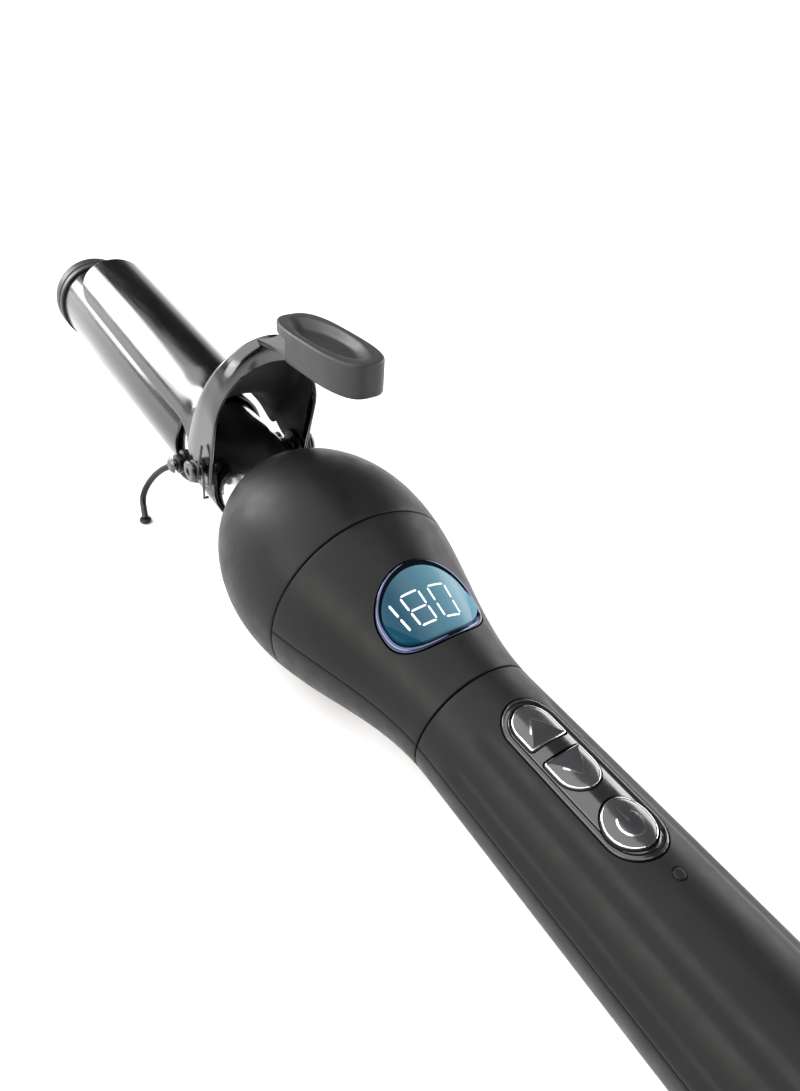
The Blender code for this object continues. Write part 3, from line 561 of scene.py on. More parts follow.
def lit_digit():
    """Pale, faintly glowing strokes of the display's number."""
    nodes = Nodes("light_pipe")
    tone = nodes.blend(nodes.noise(300, 2), (0.6, 0.68, 0.7), (0.72, 0.78, 0.8))
    nodes.feed("Base Color", tone)
    nodes.feed("Emission Color", tone)
    nodes.feed("Roughness", nodes.mapped(nodes.noise(700, 2), 0.3, 0.45))
    nodes.set(Emission_Strength=0.2)


def circuit_board():
    """Green laminate with copper tracks under the lacquer."""
    nodes = Nodes("board_green")
    tracks = nodes.tree.nodes.new("ShaderNodeTexBrick")
    tracks.inputs["Scale"].default_value = 260
    tracks.inputs["Mortar Size"].default_value = 0.03
    tracks.inputs["Color1"].default_value = (0.015, 0.11, 0.045, 1)
    tracks.inputs["Color2"].default_value = (0.02, 0.16, 0.06, 1)
    tracks.inputs["Mortar"].default_value = (0.2, 0.22, 0.05, 1)
    nodes.link(nodes.place, tracks.inputs["Vector"])
    nodes.feed("Base Color", tracks.outputs["Color"])
    nodes.feed("Roughness", nodes.mapped(nodes.noise(300, 2), 0.3, 0.5))
    nodes.bump(tracks.outputs["Fac"], 0.3, 0.03)


def make_materials():
    """Fill LOOKS with every look."""
    metal("gunmetal", (0.1, 0.1, 0.103), 0.17, (0.05, 1, 1), 1200, 0.001)
    metal("bright_steel", (0.8, 0.8, 0.81), 0.14, (1, 0.1, 0.1), 900, 0.001)
    metal("fastener_steel", (0.11, 0.11, 0.115), 0.3)
    metal("heater_metal", (0.6, 0.6, 0.6), 0.5, depth=0.02, lines=500)
    metal("bezel_chrome", (0.075, 0.09, 0.15), 0.1)
    metal("contact_brass", (0.68, 0.5, 0.2), 0.25)
    metal("black_steel", (0.035, 0.035, 0.037), 0.32, depth=0.004)
    metal("spring_steel", (0.1, 0.1, 0.1), 0.35)
    moulded("heater_ceramic", (0.78, 0.75, 0.68), 0.6, shift=0.06)
    moulded("sensor_glass", (0.5, 0.18, 0.06), 0.15, shift=0.15)
    moulded("wire_red", (0.45, 0.02, 0.02), 0.5)
    moulded("wire_black", (0.02, 0.02, 0.02), 0.5)
    moulded("wire_white", (0.75, 0.75, 0.75), 0.5, shift=0.06)
    moulded("mount_resin", (0.12, 0.055, 0.03), 0.6)
    moulded("tip_plastic", (0.014, 0.014, 0.0145), 0.42, shine=0.3)
    moulded("body_plastic", (0.0075, 0.0075, 0.0077), 0.42, shift=0.12, shine=0.16)
    moulded("lever_plastic", (0.024, 0.024, 0.0245), 0.42, shift=0.12, shine=0.3)
    moulded("gland_plastic", (0.02, 0.02, 0.02), 0.45)
    moulded("panel_plastic", (0.012, 0.012, 0.013), 0.16, 500, 0.004, coat=0.6)
    moulded("button_plastic", (0.03, 0.03, 0.032), 0.2, 350, 0.01, coat=0.6)
    moulded("lcd_blue", (0.03, 0.2, 0.28), 0.15, coat=0.5)
    # inner_black: near-black; on the clamp's inner faces it is painted shade.
    moulded("inner_black", (0.004, 0.004, 0.004), 0.6)
    lit_window()
    circuit_board()
    lit_digit()


# ---- body shells

def edge_stops(length, count):
    """Distances along a strip, packed closely at both ends where its edge is rounded."""
    near = [0, 0.03, 0.09, 0.18, EDGE]
    middle = spread(EDGE, length - EDGE, count)[1:-1]
    return near + middle + [length - stop for stop in reversed(near)]


def edge_drop(distance):
    """How far a rounded edge falls away at a distance from it."""
    if distance >= EDGE:
        return 0
    return EDGE - sqrt(EDGE ** 2 - (EDGE - distance) ** 2)


def flute(x, angle):
    """Depth of the handle's flutes at a point."""
    if not FLUTE_REAR_X < x < FLUTE_FRONT_X:
        return 0
    ramp = 5.0
    ends = min(1, (FLUTE_FRONT_X - x) / ramp, (x - FLUTE_REAR_X) / ramp)
    depth = 0
    for centre in FLUTE_ANGLES:
        away = abs(angle - radians(centre)) * body_radius(x)
        if away < FLUTE_HALF_WIDTH:
            depth += 0.5 + 0.5 * cos(pi * away / FLUTE_HALF_WIDTH)
    return FLUTE_DEPTH * depth * sin(pi / 2 * ends) ** 2


def half_arc(radius, upper):
    """First angle and sweep of the arc above or below the split line."""
    start = asin((SPLIT_Z + (SEAM if upper else -SEAM)) / radius)
    if upper:
        return start, pi - 2 * start
    return pi - start, pi + 2 * start


def half_shell(front, rear, upper, fluted=False, stations=40, columns=72):
    """Half of the body's skin above or below the split line, with rounded edges."""
    length = front - rear
    outer = []
    inner = []
    for down in edge_stops(length, stations):
        x = front - down
        radius = body_radius(x)
        first, span = half_arc(radius, upper)
        lining = radius - SHELL_WALL
        lining_first, lining_span = half_arc(lining, upper)
        skin_row = []
        lining_row = []
        for along in edge_stops(span * radius, columns):
            share = along / (span * radius)
            angle = first + share * span
            drop = max(edge_drop(min(down, length - down)),
                       edge_drop(min(along, span * radius - along)))
            drop += flute(x, angle) if fluted else 0
            skin_row.append((x, (radius - drop) * cos(angle), (radius - drop) * sin(angle)))
            angle = lining_first + share * lining_span
            lining_row.append((x, lining * cos(angle), lining * sin(angle)))
        outer.append(skin_row)
        inner.append(lining_row)
    faces = grid_faces(outer) + grid_faces(inner)
    faces += grid_faces([outer[0], inner[0]]) + grid_faces([outer[-1], inner[-1]])
    for side in (0, -1):
        faces += grid_faces([[row[side] for row in outer], [row[side] for row in inner]])
    return mesh_of(faces, 50)


def nose_mesh():
    """Bulb-shaped shell with a rolled mouth."""
    reach = asin(sqrt(1 - (MOUTH_RADIUS / BULB_RADIUS) ** 2))
    skin = []
    for angle in spread(reach * 0.985, 0, 40):
        skin.append((BULB_PEAK_X + BULB_NOSE_LENGTH * sin(angle), BULB_RADIUS * cos(angle)))
    skin += [(x, body_radius(x)) for x in spread(BULB_PEAK_X - 1, SEAM + EDGE, 12)]
    skin += [(SEAM + stop, body_radius(SEAM + stop) - edge_drop(stop)) for stop in (0.18, 0.09, 0.03, 0)]
    lip = skin[0]
    inner_radius = BULB_RADIUS - SHELL_WALL
    lining = [(SEAM, body_radius(SEAM) - SHELL_WALL)]
    for angle in spread(0, asin(sqrt(1 - (MOUTH_RADIUS / inner_radius) ** 2)), 24):
        lining.append((BULB_PEAK_X + (BULB_NOSE_LENGTH - SHELL_WALL) * sin(angle),
                       inner_radius * cos(angle)))
    rolled = [(lip[0] + 0.1, MOUTH_RADIUS - 0.05), (lip[0] + 0.25, MOUTH_RADIUS + 0.12),
              (lip[0] + 0.2, MOUTH_RADIUS + 0.35)]
    return lathe(skin + lining + rolled, 160, 45)


def screw_wells(places):
    """Cutters for the screw recesses on the underside."""
    return [prism(circle_outline(x, WELL_RADIUS, 32, y), -30, bottom) for x, y, bottom in places]


def well_floors(places):
    """Floors at the bottom of the screw recesses, each with the screw's hole."""
    meshes = []
    for x, y, bottom in places:
        ring = lathe(fillet([(bottom, 3.2, 0), (bottom, 1.45, 0), (bottom + 3, 1.45, 0),
                             (bottom + 3, 3.2, 0)]), 32)
        ring.transform(upright(x, y))
        meshes.append(ring)
    return meshes


def build_body():
    """Nose, both halves of the housing and of the handle, and the handle's end."""
    publish("nose_skin", nose_mesh(), "body_plastic", "nose_housing")
    top = half_shell(-SEAM, HOUSING_REAR_X, True)
    top = carved(top, through_top(display_outline(-BUTTON_GAP)))
    publish("housing_top_skin", top, "body_plastic", "housing_top")
    publish("housing_bottom_skin", shell_with_wells(-SEAM, HOUSING_REAR_X, HOUSING_WELLS),
                 "body_plastic", "housing_bottom")
    top = half_shell(HANDLE_FRONT_X, HANDLE_REAR_X, True, True, 90, 110)
    slot = panel_outline(-BUTTON_GAP)
    top = carved(top, through_top(slot), through_top(circle_outline(LED_X, LED_HOLE)))
    publish("handle_top_skin", top, "body_plastic", "handle_top")
    publish("handle_bottom_skin", shell_with_wells(HANDLE_FRONT_X, HANDLE_REAR_X, HANDLE_WELLS),
                 "body_plastic", "handle_bottom")
    build_end()


def through_top(outline):
    """Cutter that passes through the body's top over an outline."""
    return prism(outline, CUT_LOW_Z, CUT_HIGH_Z)


def shell_with_wells(front, rear, wells):
    """Lower half of the body with its screw recesses."""
    return merged(carved(half_shell(front, rear, False), *screw_wells(wells)), *well_floors(wells))


def build_end():
    """Cap at the rear of the handle, and the gland that turns in it."""
    rim = body_radius(HANDLE_REAR_X)
    face = HANDLE_REAR_X - 0.3
    bore = 6.2
    cap = fillet([(face, rim, EDGE), (CAP_REAR_X, rim, 3.0), (CAP_REAR_X, bore, 0.4),
                  (HANDLE_REAR_X + 4, bore, 0.2), (HANDLE_REAR_X + 4, rim - 2.3, 0.2),
                  (face, rim - 2.3, 0)], 8)
    publish("end_cap_skin", lathe(cap, 128), "body_plastic", "end_cap")
    flange = HANDLE_REAR_X + 4.3
    gland = fillet([(-127, 4.4, 0.2), (flange + 2, 4.4, 0), (flange + 2, 7.6, 0.3), (flange, 7.6, 0.3),
                    (flange, 5.9, 0), (CAP_REAR_X - 3, 5.9, 0.8), (GLAND_REAR_X, 4.8, 0.5),
                    (GLAND_REAR_X, 3.2, 0.5), (-127, 3.2, 0.2)], 6)
    publish("swivel_gland_skin", lathe(gland, 96), "gland_plastic", "swivel_gland", "gland")


# ---- barrel

def build_barrel():
    """Barrel, neck and the grooved cool tip."""
    tube_outline = fillet([(BARREL_ROOT_X, BARREL_RADIUS, 0.3), (BARREL_END_X, BARREL_RADIUS, 0.25),
                           (BARREL_END_X, BARREL_RADIUS - BARREL_WALL, 0.2),
                           (BARREL_ROOT_X, BARREL_RADIUS - BARREL_WALL, 0.2)])
    publish("barrel_skin", lathe(tube_outline, 192), "gunmetal", "barrel_tube")
    neck = fillet([(NECK_REAR_X, NECK_RADIUS, 0.2), (NECK_FRONT_X, NECK_RADIUS, 0.2),
                   (NECK_FRONT_X, NECK_RADIUS - 1, 0.2), (NECK_REAR_X, NECK_RADIUS - 1, 0.2)])
    neck = carved(lathe(neck, 160), down_bar(BRACKET_SCREW_X, BRACKET_HOLE, -20, -8))
    publish("neck_skin", neck, "bright_steel", "barrel_neck")
    shoulder = BARREL_END_X + 0.3
    spigot = BARREL_RADIUS - BARREL_WALL - 0.3
    recess = TIP_END_X - 2.6
    tip = fillet([(shoulder, TIP_RADIUS, 0.5), (shoulder + 2.2, TIP_RADIUS, 0.15),
                  (shoulder + 2.5, TIP_RADIUS - 0.35, 0.1), (shoulder + 2.9, TIP_RADIUS - 0.35, 0.1),
                  (shoulder + 3.2, TIP_RADIUS, 0.15), (TIP_END_X, TIP_RADIUS, 4.6),
                  (TIP_END_X, 3.3, 0.4), (recess, 3.3, 0.2), (recess, 1.6, 0), (recess - 3, 1.6, 0),
                  (recess - 3, spigot - 1.5, 0), (shoulder - 8, spigot - 1.5, 0),
                  (shoulder - 8, spigot, 0.5), (shoulder, spigot, 0)], 9)
    publish("cool_tip_skin", lathe(tip, 144, 40), "tip_plastic", "cool_tip")


def down_bar(x, radius, low, high):
    """Upright round bar on the iron's middle plane."""
    return prism(circle_outline(x, radius, 24), low, high)


# ---- display and buttons

def display_outline(inset, count=96):
    """D shape of the display: a half ellipse towards the tip, nearly square behind."""
    length = DISPLAY_HALF_LENGTH - inset
    width = DISPLAY_HALF_WIDTH - inset
    points = []
    for i in range(count):
        angle = 2 * pi * i / count
        behind = min(1, max(0, -cos(angle) * 6))
        forward, across = rounded_box(angle, 1 - (1 - DISPLAY_SQUARENESS) * behind)
        points.append((DISPLAY_X + length * forward, width * across))
    return points


def slot_outline(front, rear, half_width, round_front=True, round_rear=True, steps=24):
    """A bar from front to rear, with a half circle on each end that is round."""
    points = []
    for end, turn, is_round in ((front, -pi / 2, round_front), (rear, pi / 2, round_rear)):
        side = 1 if end == front else -1
        if not is_round:
            corner = 0.5
            points += [(end - side * corner * (1 - c), -side * (half_width - corner * (1 - s)))
                       for c, s in ((0, 1), (0.7, 0.7), (1, 0))]
            points += [(end - side * corner * (1 - c), side * (half_width - corner * (1 - s)))
                       for c, s in ((1, 0), (0.7, 0.7), (0, 1))]
            continue
        centre = end - side * half_width
        for i in range(steps + 1):
            angle = turn + pi * i / steps
            points.append((centre + half_width * cos(angle), half_width * sin(angle)))
    return points


def inset_ring(outline, inset):
    """The outline moved inwards along its own normals."""
    ring = []
    count = len(outline)
    for i in range(count):
        before = Vector(outline[i - 1])
        here = Vector(outline[i])
        after = Vector(outline[(i + 1) % count])
        along = ((here - before).normalized() + (after - here).normalized()).normalized()
        inwards = Vector((-along.y, along.x))
        ring.append(here + inwards * inset)
    return ring


def pillow(outline, profile, floor, lift=0.0, rings=14):
    """Closed solid over an outline whose top follows the body: profile is (inset, height) steps."""
    rows = [[(x, y, floor) for x, y in outline]]
    for inset, height in profile:
        rows.append([(p.x, p.y, top_z(p.x, p.y, lift + height)) for p in inset_ring(outline, inset)])
    edge = inset_ring(outline, profile[-1][0])
    height = lift + profile[-1][1]
    centre = sum(edge, Vector((0, 0))) / len(edge)
    for share in spread(1, 0, rings)[1:]:
        row = [centre + (point - centre) * share for point in edge]
        rows.append([(p.x, p.y, top_z(p.x, p.y, height)) for p in row])
    return mesh_of(grid_faces(rows, wrap=True) + [rows[0]], 40)


def rim_ring(outline, section):
    """Closed ring over an outline; section is a loop of (inset, lift from the body's surface)."""
    rows = []
    for inset, height in [*section, section[0]]:
        ring = inset_ring(outline, inset)
        rows.append([(p.x, p.y, top_z(p.x, p.y, height)) for p in ring])
    return mesh_of(grid_faces(rows, wrap=True), 40)


def ribbon(path, half_width, lift, depth, ends=1.0):
    """Thin raised line over the body's surface, tapering to a share of its width at both ends."""
    rows = []
    for i, point in enumerate(path):
        here = Vector(point)
        ahead = Vector(path[min(i + 1, len(path) - 1)])
        behind = Vector(path[max(i - 1, 0)])
        along = (ahead - behind).normalized()
        width = half_width * (ends if i in (0, len(path) - 1) else 1)
        side = Vector((-along.y, along.x)) * width
        left = here + side
        right = here - side
        rows.append([(left.x, left.y, top_z(left.x, left.y, lift - depth)),
                     (left.x, left.y, top_z(left.x, left.y, lift)),
                     (right.x, right.y, top_z(right.x, right.y, lift)),
                     (right.x, right.y, top_z(right.x, right.y, lift - depth))])
    return mesh_of(grid_faces(rows, wrap=True) + [rows[0], rows[-1]])


def bar(start, end, half_width, lift, depth, ends=0.15):
    """Straight segment with pointed ends, subdivided so that it follows the surface."""
    start = Vector(start)
    end = Vector(end)
    tip = half_width * 1.1 / (end - start).length
    shares = [0, tip, *spread(tip, 1 - tip, 6)[1:-1], 1 - tip, 1]
    return ribbon([start.lerp(end, share) for share in shares], half_width, lift, depth, ends)


def digit_place(across, up):
    """Where a point of the display's number lies: across from left to right, up from 0 to 1."""
    low = Vector((-24.9 - 0.09 * across, 7.0 - across * 0.86))
    high = Vector((-18.0 - 0.06 * across, 8.1 - across))
    return low.lerp(high, up)


def digit_bars():
    """Seven-segment strokes of the number 180."""
    strokes = []
    left, right = 2.6, 6.7
    for up in ((0.04, 0.46), (0.54, 0.96)):
        strokes.append(((0.1, up[0]), (0.1, up[1])))
        for x in (left, right):
            strokes.append(((x, up[0]), (x, up[1])))
    strokes += [((left + 0.25, up), (right - 0.25, up)) for up in (0.0, 0.5, 1.0)]
    left, right = 8.9, 13.1
    for up in ((0.04, 0.46), (0.54, 0.96)):
        strokes += [((x, up[0]), (x, up[1])) for x in (left, right)]
    strokes += [((left + 0.25, up), (right - 0.25, up)) for up in (0.0, 1.0)]
    return [bar(digit_place(*start), digit_place(*end), DIGIT_STROKE, DIGIT_LIFT, DIGIT_DEPTH)
            for start, end in strokes]


def build_display():
    """Chrome frame, glass and number of the display."""
    section = [(0, -1.4), (0, 0.05), (0.1, 0.25), (0.28, 0.35), (0.5, 0.33), (0.8, 0.16),
               (BEZEL_RIM, -0.05), (BEZEL_RIM, -1.4)]
    publish("bezel_skin", rim_ring(display_outline(0), section), "bezel_chrome", "display_bezel")
    glass = pillow(display_outline(BEZEL_RIM + 0.1), [(0, -0.3), (0.05, 0.0), (0.2, 0.1)], WINDOW_Z)
    publish("window_skin", glass, "window_blue", "display_window")
    publish("display_digits", joined(*digit_bars()), "light_pipe")


def button_shapes():
    """Outline of each button."""
    return {
        "up": slot_outline(BUTTON_UP_X[1], BUTTON_UP_X[0], BUTTON_HALF_WIDTH, round_rear=False),
        "down": slot_outline(BUTTON_DOWN_X[1], BUTTON_DOWN_X[0], BUTTON_HALF_WIDTH, round_front=False),
        "power": circle_outline(POWER_X, POWER_RADIUS),
    }


def chevron(x, side, lift):
    """Two strokes that meet in a point towards the tip (side 1) or the handle (side -1)."""
    point = (x + side * 1.5, 0)
    return [bar((x - side * 1.3, y), point, 0.17, lift, SIGN_DEPTH, 0.6) for y in (2.3, -2.3)]


def power_sign(lift):
    """Open ring with a stroke in its gap."""
    arc = [(POWER_X - 0.2 + 2.3 * cos(a), 2.3 * sin(a))
           for a in spread(radians(42), radians(318), 28)]
    stroke = bar((POWER_X + 0.2, 0), (POWER_X + 2.9, 0), 0.2, lift, SIGN_DEPTH, 0.6)
    return [ribbon(arc, 0.2, lift, SIGN_DEPTH, 0.5), stroke]


def build_buttons():
    """Panel, the three buttons with their bright outlines and signs, and the light behind them."""
    shapes = button_shapes()
    profile = [(0, -0.4), (0.02, 0.05), (0.12, 0.14), (0.3, 0.14), (0.42, 0.02), (0.5, -0.45),
               (1.0, -0.5), (1.12, -0.2), (1.25, -0.12)]
    panel = slot_pillow(profile)
    holes = [through_top(grown(shape, BUTTON_GAP)) for shape in shapes.values()]
    publish("panel_skin", carved(panel, *holes), "panel_plastic", "button_panel")
    signs = {"up": chevron(-53.2, 1, SIGN_LIFT), "down": chevron(-63.8, -1, SIGN_LIFT),
             "power": power_sign(SIGN_LIFT)}
    for name, shape in shapes.items():
        top = pillow(shape, [(0, -0.5), (0.04, -0.05), (0.12, 0.08), (0.5, 0.16), (0.9, 0.2)],
                     BUTTON_FLOOR_Z)
        key = "key_" + name
        publish("button_skin_" + name, top, "button_plastic", "button_" + name, key)
        frame_line = rim_ring(shape, [(0.1, -0.2), (0.1, 0.12), (0.16, 0.2), (0.3, 0.23), (0.36, 0.2),
                                      (0.4, -0.2)])
        publish("button_outline_" + name, frame_line, "bright_steel", body=key)
        publish("button_sign_" + name, joined(*signs[name]), "bright_steel", body=key)
    lens = pillow(circle_outline(LED_X, LED_RADIUS, 32), [(0, -0.2), (0.1, 0.06), (0.35, 0.2)], LED_FLOOR_Z,
                  rings=5)
    publish("led_lens", lens, "body_plastic", "led_light_pipe")


def grown(outline, gap):
    """The outline moved outwards."""
    return [tuple(point) for point in inset_ring(outline, -gap)]


def panel_outline(inset):
    return slot_outline(PANEL_FRONT_X - inset, PANEL_REAR_X + inset, PANEL_HALF_WIDTH - inset)


def slot_pillow(profile):
    """The panel: its rings shrink about the slot's own middle line."""
    last, height = profile[-1]
    flat = [(inset, height) for inset in spread(last, PANEL_HALF_WIDTH - 0.02, 12)[1:]]
    rows = [[(x, y, PANEL_FLOOR_Z) for x, y in panel_outline(0)]]
    for inset, height in [*profile, *flat]:
        rows.append([(x, y, top_z(x, y, height)) for x, y in panel_outline(inset)])
    return mesh_of(grid_faces(rows, wrap=True) + [rows[0], rows[-1]], 40)


# ---- clamp

def plate_point(u, x, half_angle):
    angle = u * half_angle
    centre = PLATE_AXIS_Z + PLATE_RISE * (x - PIVOT_X)
    return Vector((x, PLATE_RADIUS * sin(angle), centre + PLATE_RADIUS * cos(angle)))


def hoop_point(u, half_width, top, shoulder, foot, foot_x, top_x):
    """Point of an arch that leans back: straight legs under a half ellipse."""
    if abs(u) <= HOOP_BEND:
        angle = u / HOOP_BEND * pi / 2
        y = half_width * sin(angle)
        z = shoulder + (top - shoulder) * cos(angle)
    else:
        y = copysign(half_width, u)
        z = shoulder + (foot - shoulder) * (abs(u) - HOOP_BEND) / (1 - HOOP_BEND)
    x = foot_x + (top_x - foot_x) * (z - foot) / (top - foot)
    return Vector((x, y, z))


def ear_foot(x, foot):
    """Lower end of an arch: the round ear about the pivot where there is one."""
    away = abs(x - PIVOT_X)
    if away >= EAR_RADIUS:
        return foot
    return min(foot, PIVOT_Z - sqrt(EAR_RADIUS ** 2 - away ** 2))


def clamp_rows(columns):
    """Rows of the clamp's outer skin, from the tongue to the rear lip of the hoop."""
    tongue = 9.0
    rows = []
    for angle in spread(0, pi / 2, 16):
        x = PLATE_FRONT_X - tongue + tongue * cos(angle)
        share = 0.45 + 0.55 * sin(angle)
        rows.append([plate_point(u, x, PLATE_HALF_ANGLE * share) for u in columns])
    for x in spread(PLATE_FRONT_X - tongue, PLATE_REAR_X, 26)[1:]:
        rows.append([plate_point(u, x, PLATE_HALF_ANGLE) for u in columns])
    arches = [[hoop_point(u, *shape) for u in columns] for shape in HOOP_ARCHES]
    fold = [(low + high) / 2 + Vector((-2.5, 0, -2)) for low, high in zip(rows[-1], arches[0])]
    control = [rows[-4], rows[-1], fold, *arches]
    curved = [smooth_route(list(points), 7) for points in zip(*control)]
    skin = [list(row) for row in zip(*curved)]
    return rows[:-4] + [lowered(row) for row in skin]


def lowered(row):
    """Pull the lower ends of a row down to the outline of the pivot's ears."""
    made = []
    for point in row:
        if abs(point.y) > 13.9 and point.z < EAR_BLEND_Z:
            share = (EAR_BLEND_Z - point.z) / (EAR_BLEND_Z - HOOP_FOOT_Z)
            foot = ear_foot(point.x, HOOP_FOOT_Z)
            point = Vector((point.x, point.y, EAR_BLEND_Z + (foot - EAR_BLEND_Z) * share))
        made.append(point)
    return made


def grid_normals(rows):
    """Unit normal at every point of a grid."""
    normals = []
    for i, row in enumerate(rows):
        line = []
        for j in range(len(row)):
            along = rows[min(i + 1, len(rows) - 1)][j] - rows[max(i - 1, 0)][j]
            across = row[min(j + 1, len(row) - 1)] - row[max(j - 1, 0)]
            line.append(across.cross(along).normalized())
        normals.append(line)
    return normals


def grid_edge(height, width):
    """Places (row, column) round the edge of a grid."""
    edge = [(0, j) for j in range(width)]
    edge += [(i, width - 1) for i in range(1, height)]
    edge += [(height - 1, j) for j in range(width - 2, -1, -1)]
    return edge + [(i, 0) for i in range(height - 2, 0, -1)]


def sheet_metal(rows, thickness):
    """Give an open grid a thickness inwards and a rounded rim."""
    normals = grid_normals(rows)
    inner = [[point - normal * thickness for point, normal in zip(row, line)]
             for row, line in zip(rows, normals)]
    edge = grid_edge(len(rows), len(rows[0]))
    rim = []
    for index, (i, j) in enumerate(edge):
        before_row, before_column = edge[index - 1]
        after_row, after_column = edge[(index + 1) % len(edge)]
        along = rows[after_row][after_column] - rows[before_row][before_column]
        outwards = along.cross(normals[i][j]).normalized()
        middle = (rows[i][j] + inner[i][j]) / 2
        if (middle - CLAMP_MIDDLE).dot(outwards) <= 0:
            outwards = -outwards
        bulge = outwards * thickness * 0.35
        across = [rows[i][j].lerp(inner[i][j], share) + bulge * round_off
                  for share, round_off in ((0.2, 0.8), (0.5, 1), (0.8, 0.8))]
        rim.append([rows[i][j], *across, inner[i][j]])
    rim.append(rim[0])
    return mesh_of(grid_faces(rows) + grid_faces(inner) + grid_faces(rim), 60)


def build_clamp():
    """Clamp plate and hoop in one piece of sheet, with the tab that carries the thumb lever."""
    rows = clamp_rows(spread(-1, 1, 81))
    plate = sheet_metal(rows, SHEET)
    tab = prism(fillet([(9.5, 3.2, 0.4), (9.5, -3.2, 0.4), (-17, -3.2, 1.5), (-17, 3.2, 1.5)]), 0, 1)
    tab.transform(tab_place())
    plate = carved(plate, tab, operation="UNION")
    hole = down_bar(TAB_SCREW_X, 1.1, -1, 2)
    hole.transform(tab_place())
    plate = carved(plate, cross_pin(PIVOT_X, PIVOT_Z, PIVOT_HOLE, -20, 20), hole)
    # The clamp's inner faces get painted shade, a near-black material.
    paint_shade_inside(publish("clamp_skin", plate, "gunmetal", "clamp_plate", "clamp"))
    build_lever()


def paint_shade_inside(piece):
    """Painted shade: the clamp's inner faces, inside the hoop and under the plate, get a near-black second
    material that stands for the shade there; faces near the hoop's rear lip keep the metal.
    """
    mesh = piece.data
    mesh.materials.append(LOOKS["inner_black"])
    for face in mesh.polygons:
        centre = face.center / MM
        normal = face.normal
        if centre.x > STAND_X - 1:
            axis_z = PLATE_AXIS_Z + PLATE_RISE * (centre.x - PIVOT_X)
            inwards = Vector((0, -centre.y, axis_z - centre.z)).normalized()
            inner = normal.dot(inwards) > 0.6
        else:
            inwards = Vector((-0.35, -centre.y, 8 - centre.z)).normalized()
            lip_x = 52.5 - 8.1 * (centre.z - HOOP_FOOT_Z) / 33.5
            near_lip = centre.x < lip_x + 1.6
            inner = normal.dot(inwards) > 0.35 and not near_lip
        if inner:
            face.material_index = 1


def lever_place():
    return Matrix.Translation(LEVER_ORIGIN) @ Matrix.Rotation(LEVER_TILT, 4, "Y")


def tab_place():
    return Matrix.Translation(TAB_ORIGIN) @ Matrix.Rotation(TAB_TILT, 4, "Y")


def lever_outline(inset, count=120):
    """Plan of the thumb lever: an oval with nearly straight sides."""
    half_length = LEVER_LENGTH / 2
    points = []
    for i in range(count):
        along, across = rounded_box(2 * pi * i / count, LEVER_SQUARENESS)
        points.append(((half_length - inset) * along - half_length, (LEVER_HALF_WIDTH - inset) * across))
    return points


def lever_top(x, y):
    """Height of the lever's scooped top: a raised rim round an oval hollow."""
    reach = ((x + LEVER_LENGTH / 2) / 14.2) ** 2 + (y / 4.7) ** 2
    hollow = min(1, max(0, (1.0 - reach) / 0.62))
    return LEVER_HEIGHT - LEVER_SCOOP * hollow ** 2 * (3 - 2 * hollow)


def build_lever():
    """Thumb lever: a scooped block, hollow below, with a post for its screw."""
    outline = lever_outline(0)
    rows = [[(x, y, z) for x, y in lever_outline(inset)] for z, inset in ((0, 0.5), (0.2, 0.15), (0.6, 0))]
    wall_top = LEVER_HEIGHT - LEVER_EDGE
    rows += [[(x, y, share * wall_top) for x, y in outline] for share in (0.3, 0.65, 1)]
    for turn in spread(0, pi / 2, 7)[1:]:
        ring = lever_outline(LEVER_EDGE * (1 - cos(turn)))
        rows.append([(x, y, LEVER_HEIGHT - LEVER_EDGE * (1 - sin(turn))) for x, y in ring])
    middle = Vector((-LEVER_LENGTH / 2, 0))
    edge = [Vector(point) for point in lever_outline(LEVER_EDGE)]
    for share in spread(1, 0, 26)[1:]:
        ring = [middle + (point - middle) * share for point in edge]
        rows.append([(point.x, point.y, lever_top(point.x, point.y)) for point in ring])
    lever = mesh_of(grid_faces(rows, wrap=True) + [rows[0]], 60)
    pocket = prism(lever_outline(1.3), -1, 4.2)
    lip = prism([(-8.5, -8), (4, -8), (4, 8), (-8.5, 8)], -1, 5)
    lever = carved(lever, pocket, lip)
    lever.transform(lever_place())
    post = lathe([(1.3, 2.4), (1.3, 1.1), (4.4, 1.1), (4.4, 2.4)], 32)
    post.transform(tab_place() @ upright(TAB_SCREW_X))
    publish("lever_skin", merged(lever, post), "lever_plastic", "thumb_lever", "clamp")


# ---- bracket, pins and stand

def build_bracket():
    """Black steel cradle round the neck, with ears for the clamp and the stand."""
    inner = NECK_RADIUS + 0.3
    skin = inner + SHEET
    section = []
    for radius in (skin, inner):
        arc = [(radius, 10)]
        arc += [(radius * cos(a), -radius * sin(a)) for a in spread(0, pi, 49)]
        arc += [(-radius, 10)]
        section += arc if radius == skin else list(reversed(arc))
    rows = [[(x, y, z) for y, z in section] for x in (BRACKET_REAR_X, BRACKET_FRONT_X)]
    cradle = mesh_of(grid_faces(rows, wrap=True) + rows, 40)
    ear = 4.4
    tail = 3.4
    side = [(BRACKET_REAR_X + 0.2, -20), (BRACKET_FRONT_X - 0.4, -20)]
    for x, z, radius, sweep, steps in ((STAND_X, STAND_Z, tail, 0.7 * pi, 12),
                                       (PIVOT_X, PIVOT_Z, ear, pi, 24)):
        side += [(x + radius * cos(a), z + radius * sin(a)) for a in spread(0, sweep, steps)]
    cradle = carved(cradle, side_prism(side, -20, 20), operation="INTERSECT")
    cradle = carved(cradle, cross_pin(PIVOT_X, PIVOT_Z, PIVOT_HOLE, -20, 20),
                    cross_pin(STAND_X, STAND_Z, STAND_HOLE, -20, 20),
                    down_bar(BRACKET_SCREW_X, BRACKET_HOLE, -20, -8))
    publish("bracket_skin", cradle, "black_steel", "pivot_bracket")


